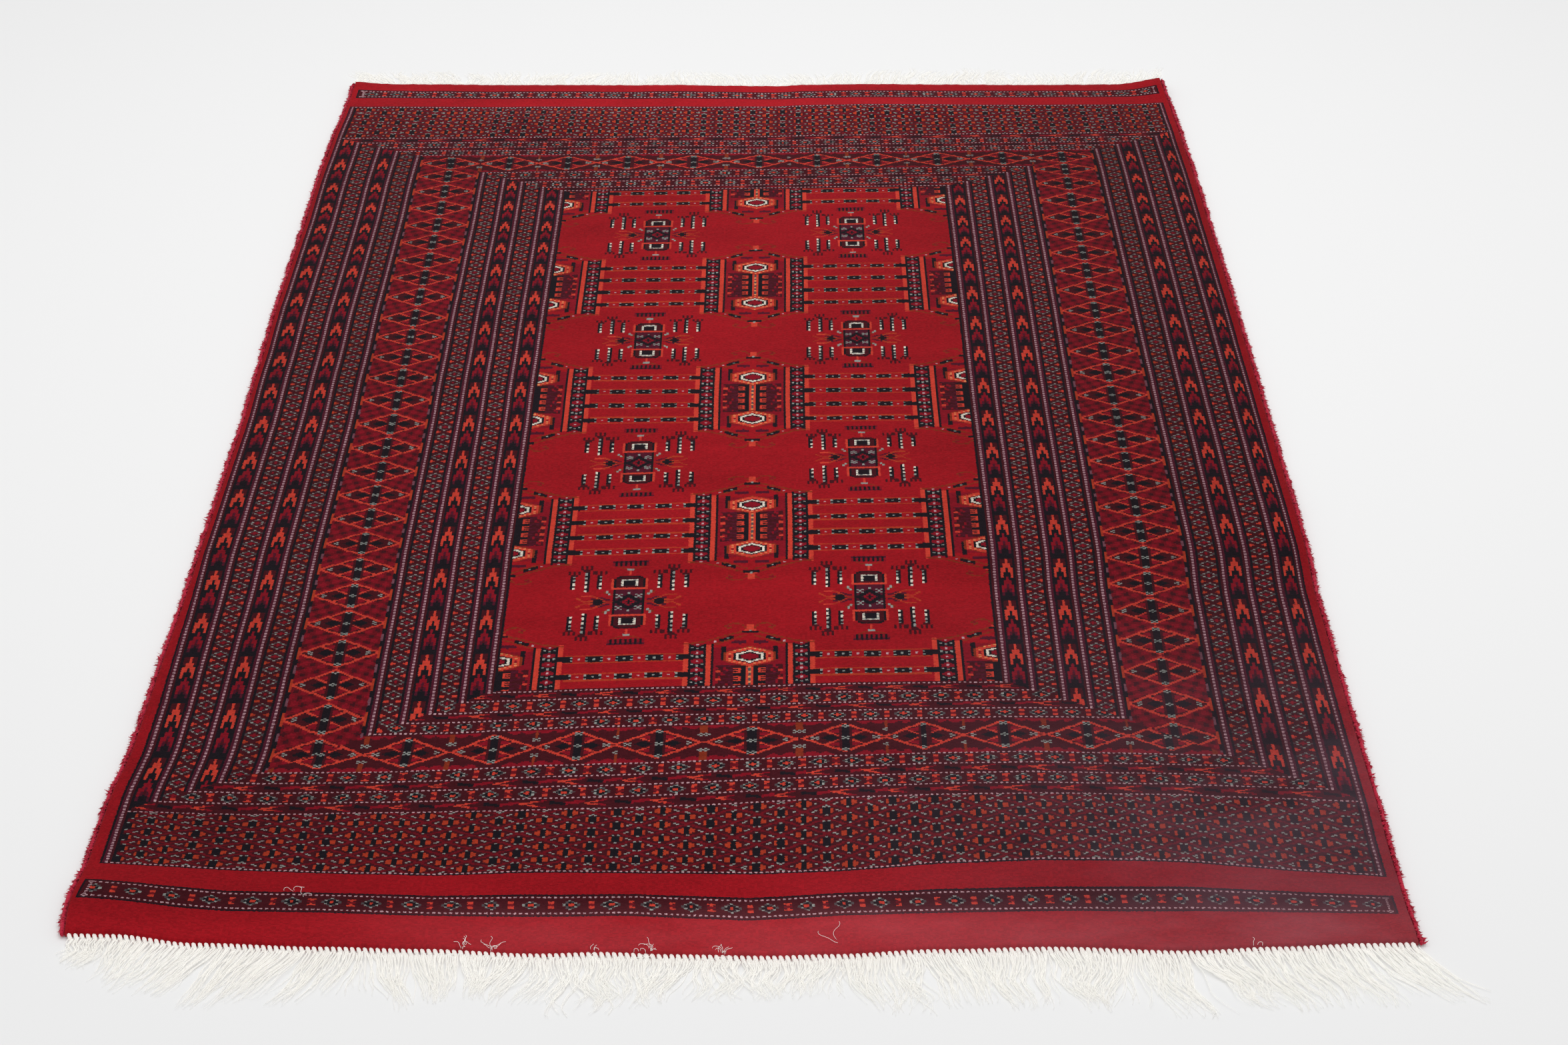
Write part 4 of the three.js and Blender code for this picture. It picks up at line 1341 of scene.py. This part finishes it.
def fringe_mesh(name, end, lay, yarns, steps, seed):
    """Beads and yarns of one end, joined."""
    draws = np.random.default_rng(seed)
    points, faces = [], []

    def keep(rings):
        faces.extend(tube_faces(rings, sum(map(len, points))))
        points.append(rings.reshape(-1, 3))

    share = np.linspace(0, 1, steps)
    hank_left = 0
    for i in range(KNOTS_PER_END):
        across = ((i + 0.5) / KNOTS_PER_END * 2 - 1) * (1 - 2.0 / HALF_WIDTH)
        y_side = end * HALF_LENGTH
        x0 = left_edge(y_side) + (right_edge(y_side) - left_edge(y_side)) * (across + 1) / 2
        y0 = near_edge(x0) if end < 0 else far_edge(x0)
        lift = float(lift_at(x0, y0))
        if hank_left == 0:  # the next few knots fall together
            hank_left = int(draws.integers(3, 9))
            hank_size = hank_left
            hank_wave, hank_phase = draws.uniform(0.7, 1.5), draws.uniform(0, 2 * math.pi)
            hank_sway, hank_reach = draws.uniform(2.5, 8.0), draws.uniform(0.86, 1.06)
            hank_lean = draws.normal(0, 4.5)
        gather = (hank_left - 0.5 - hank_size / 2) * 6.1  # the hank's knots reach for its middle
        hank_left -= 1
        lean = float(read_table(lay, 1, x0)) + hank_lean + gather * 0.3
        reach = float(read_table(lay, 2, x0)) * hank_reach
        # the bead: a short slanted barrel, pulled tight against the pile
        slant = 1.9 * (1 if end < 0 else -1)
        bead = np.stack([x0 + np.linspace(-slant, slant, 6), y0 + end * np.linspace(-1.4, 5.6, 6),
                         lift * np.linspace(1, 0.6, 6) + BEAD_LIFT], 1)
        keep(yarn_rings(bead, BEAD_RADIUS, 6))
        for j in range(yarns):
            spread = (j - (yarns - 1) / 2) * 1.1
            own_lean = lean + draws.normal(0, 4.0)
            own_reach = reach * draws.uniform(0.62, 0.90)
            phase = hank_phase + draws.normal(0, 0.5)
            sway = hank_sway * draws.uniform(0.6, 1.3)
            depth = draws.uniform(0.2, 0.7)
            crinkle = depth * np.sin(share * own_reach / draws.uniform(2.4, 4.4) + phase)
            rolling = np.sin(share * hank_wave * 2 * math.pi + phase) - math.sin(phase)
            bend = own_lean * share ** 1.25 + sway * rolling * share ** 0.7
            x = x0 + slant + spread * (1 + share) + bend + crinkle * np.minimum(1, share * 4)
            y = y0 + end * (4.6 + share * (own_reach - 4))
            layer = draws.uniform(0, 4.6)
            fall = np.maximum(0, 1 - share / 0.25)
            z = (0.62 + layer * (1 - share * 0.7) + fall * (1.2 + 0.6 * lift)
                 + 0.25 * (crinkle + 0.8))
            radius = YARN_THICK / 2 * np.interp(share, [0, 0.3, 0.7, 1], [1.0, 0.85, 0.55, 0.2])
            keep(yarn_rings(np.stack([x, y, z], 1), radius))
    for x0, y0, size, count in (loose_wisps if end < 0 else []):
        for _ in range(count):
            turn, bend = draws.uniform(0, 2 * math.pi), draws.normal(0, 2.2)
            run = np.linspace(0, 1, WISP_STEPS)
            heading = turn + bend * run + 0.8 * np.sin(run * 5 + turn)
            x = x0 + draws.normal(0, 2.0) + np.cumsum(np.cos(heading)) * size / WISP_STEPS
            y = y0 + draws.normal(0, 2.0) + np.cumsum(np.sin(heading)) * size / WISP_STEPS
            high = np.where(y > near_edge(x) + 1, PILE_TOP + 0.4, 4.0) + lift_at(x, y)
            path = np.stack([x, y, high + 1.2 * np.sin(run * 3)], 1)
            keep(yarn_rings(path, np.full(WISP_STEPS, WISP_RADIUS)))
    return mesh_from(name, np.concatenate(points), faces, len(faces))


# %% [markdown]
# ## Undyed cotton
# The warps are plain plied cotton, never dyed, bright and dull. A heap of it passes light from yarn
# to yarn and so has hardly a shadow in its depth. A picture with few light bounces loses that glow,
# so nearly half of the surface is translucent, and a faint glow of its own gives back the rest.

# %% Cotton of the warps
cotton, cotton_tree = new_material("undyed_cotton_warp")
place = add_node(cotton_tree, "ShaderNodeTexCoord").outputs["Object"]
# the plies turn every 1.2 mm, and the cotton has aged unevenly over some 70 mm
twist = add_node(cotton_tree, "ShaderNodeTexWave",
                 {"wave_type": "BANDS", "bands_direction": "DIAGONAL"},
                 {"Vector": place, "Scale": scale_for(1.2, WAVE), "Distortion": 3.0, "Detail": 1.0})
aged = add_node(cotton_tree, "ShaderNodeTexNoise", {},
                {"Vector": place, "Scale": scale_for(71, METRE), "Detail": 4.0})
shade = add_node(cotton_tree, "ShaderNodeMix", {"data_type": "RGBA"},
                 {0: aged.outputs[0], 6: linear("#F6F3EC"), 7: linear("#FFFEFA")})
grain = add_node(cotton_tree, "ShaderNodeBump", {},
                 {"Height": twist.outputs[1], "Strength": 0.3, "Distance": 0.0002})
cotton_shader = add_node(cotton_tree, "ShaderNodeBsdfPrincipled", {}, {
    "Base Color": shade.outputs[2], "Roughness": 0.9, "Specular IOR Level": 0.2,
    "Emission Color": linear("#FFFDFA"), "Emission Strength": 0.25,
    "Sheen Weight": 0.2, "Normal": grain.outputs[0]})
# thin yarn lets light through, so a loose heap of it stays white in its depth
through = add_node(cotton_tree, "ShaderNodeBsdfTranslucent", {}, {"Color": linear("#FFFFFF")})
blended = add_node(cotton_tree, "ShaderNodeMixShader", {},
                   {0: 0.45, 1: cotton_shader.outputs[0], 2: through.outputs[0]})
add_node(cotton_tree, "ShaderNodeOutputMaterial", {}, {"Surface": blended.outputs[0]})

# %% Both fringes
for name, node, end, lay, yarns, steps, seed in (
        ("cotton_fringe_near", "fringe_near", -1, near_lay, 5, 20, 5),
        ("cotton_fringe_far", "fringe_far", 1, far_lay, 4, 14, 8)):
    fringe = bpy.data.objects.new(name, fringe_mesh(name, end, lay, yarns, steps, seed))
    bpy.context.scene.collection.objects.link(fringe)
    fringe.data.materials.append(cotton)
    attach(fringe, "root")
    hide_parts(node)
    print(name, len(fringe.data.polygons), "faces")

# %% [markdown]
# ## The floor
# The rug lies on a plain painted floor, matt and nearly white. It belongs to the picture and not to
# the rug, so it is staged. It lies a hair below the back of the rug, so that no two faces coincide.

# %% Floor
FLOOR_TOP, FLOOR_HALF = -0.0002, 8.0
floor_corners = [(x * FLOOR_HALF, y * FLOOR_HALF, FLOOR_TOP)
                 for x, y in ((-1, -1), (1, -1), (1, 1), (-1, 1))]
floor_mesh = bpy.data.meshes.new("floor")
floor_mesh.from_pydata(floor_corners, [], [(0, 1, 2, 3)])
floor = bpy.data.objects.new("floor", floor_mesh)
bpy.context.scene.collection.objects.link(floor)
floor_look, floor_tree = new_material("painted_floor")
floor_shader = add_node(floor_tree, "ShaderNodeBsdfPrincipled", {}, {
    "Base Color": linear("#F0F0F0"), "Roughness": 0.7, "Specular IOR Level": 0.2})
add_node(floor_tree, "ShaderNodeOutputMaterial", {}, {"Surface": floor_shader.outputs[0]})
floor_mesh.materials.append(floor_look)

# %% [markdown]
# ## Light and camera
# The studio is bright and even: a white surround and one large soft box high above the rug, so
# that only short soft shadows lie beside the edges. The camera stands at the near end at eye
# height, with a 50 mm lens on a 36 mm wide sensor, and looks down along the rug.

# %% Light and camera
world = bpy.data.worlds.new("studio")
bpy.context.scene.world = world
world.use_nodes = True
world.node_tree.nodes["Background"].inputs[0].default_value = linear("#FFFFFF")
world.node_tree.nodes["Background"].inputs[1].default_value = 0.66
lamp = bpy.data.lights.new("soft_box", "AREA")
lamp.shape = "RECTANGLE"
lamp.size, lamp.size_y = 3.5, 2.5
lamp.energy = 58.0
soft_box = bpy.data.objects.new("soft_box", lamp)
soft_box.location = (0.1, 0.5, 3.4)
soft_box.rotation_euler = (math.radians(-6), 0, 0)
bpy.context.scene.collection.objects.link(soft_box)
bpy.context.scene.view_settings.view_transform = "Standard"

eye = bpy.data.cameras.new("camera")
eye.lens, eye.sensor_width = 50.0, 36.0
camera = bpy.data.objects.new("camera", eye)
camera.location = (0.0469, -2.3164, 1.5945)
camera.rotation_euler = (math.radians(52.413), math.radians(0.081), math.radians(-0.004))
bpy.context.scene.collection.objects.link(camera)
bpy.context.scene.camera = camera
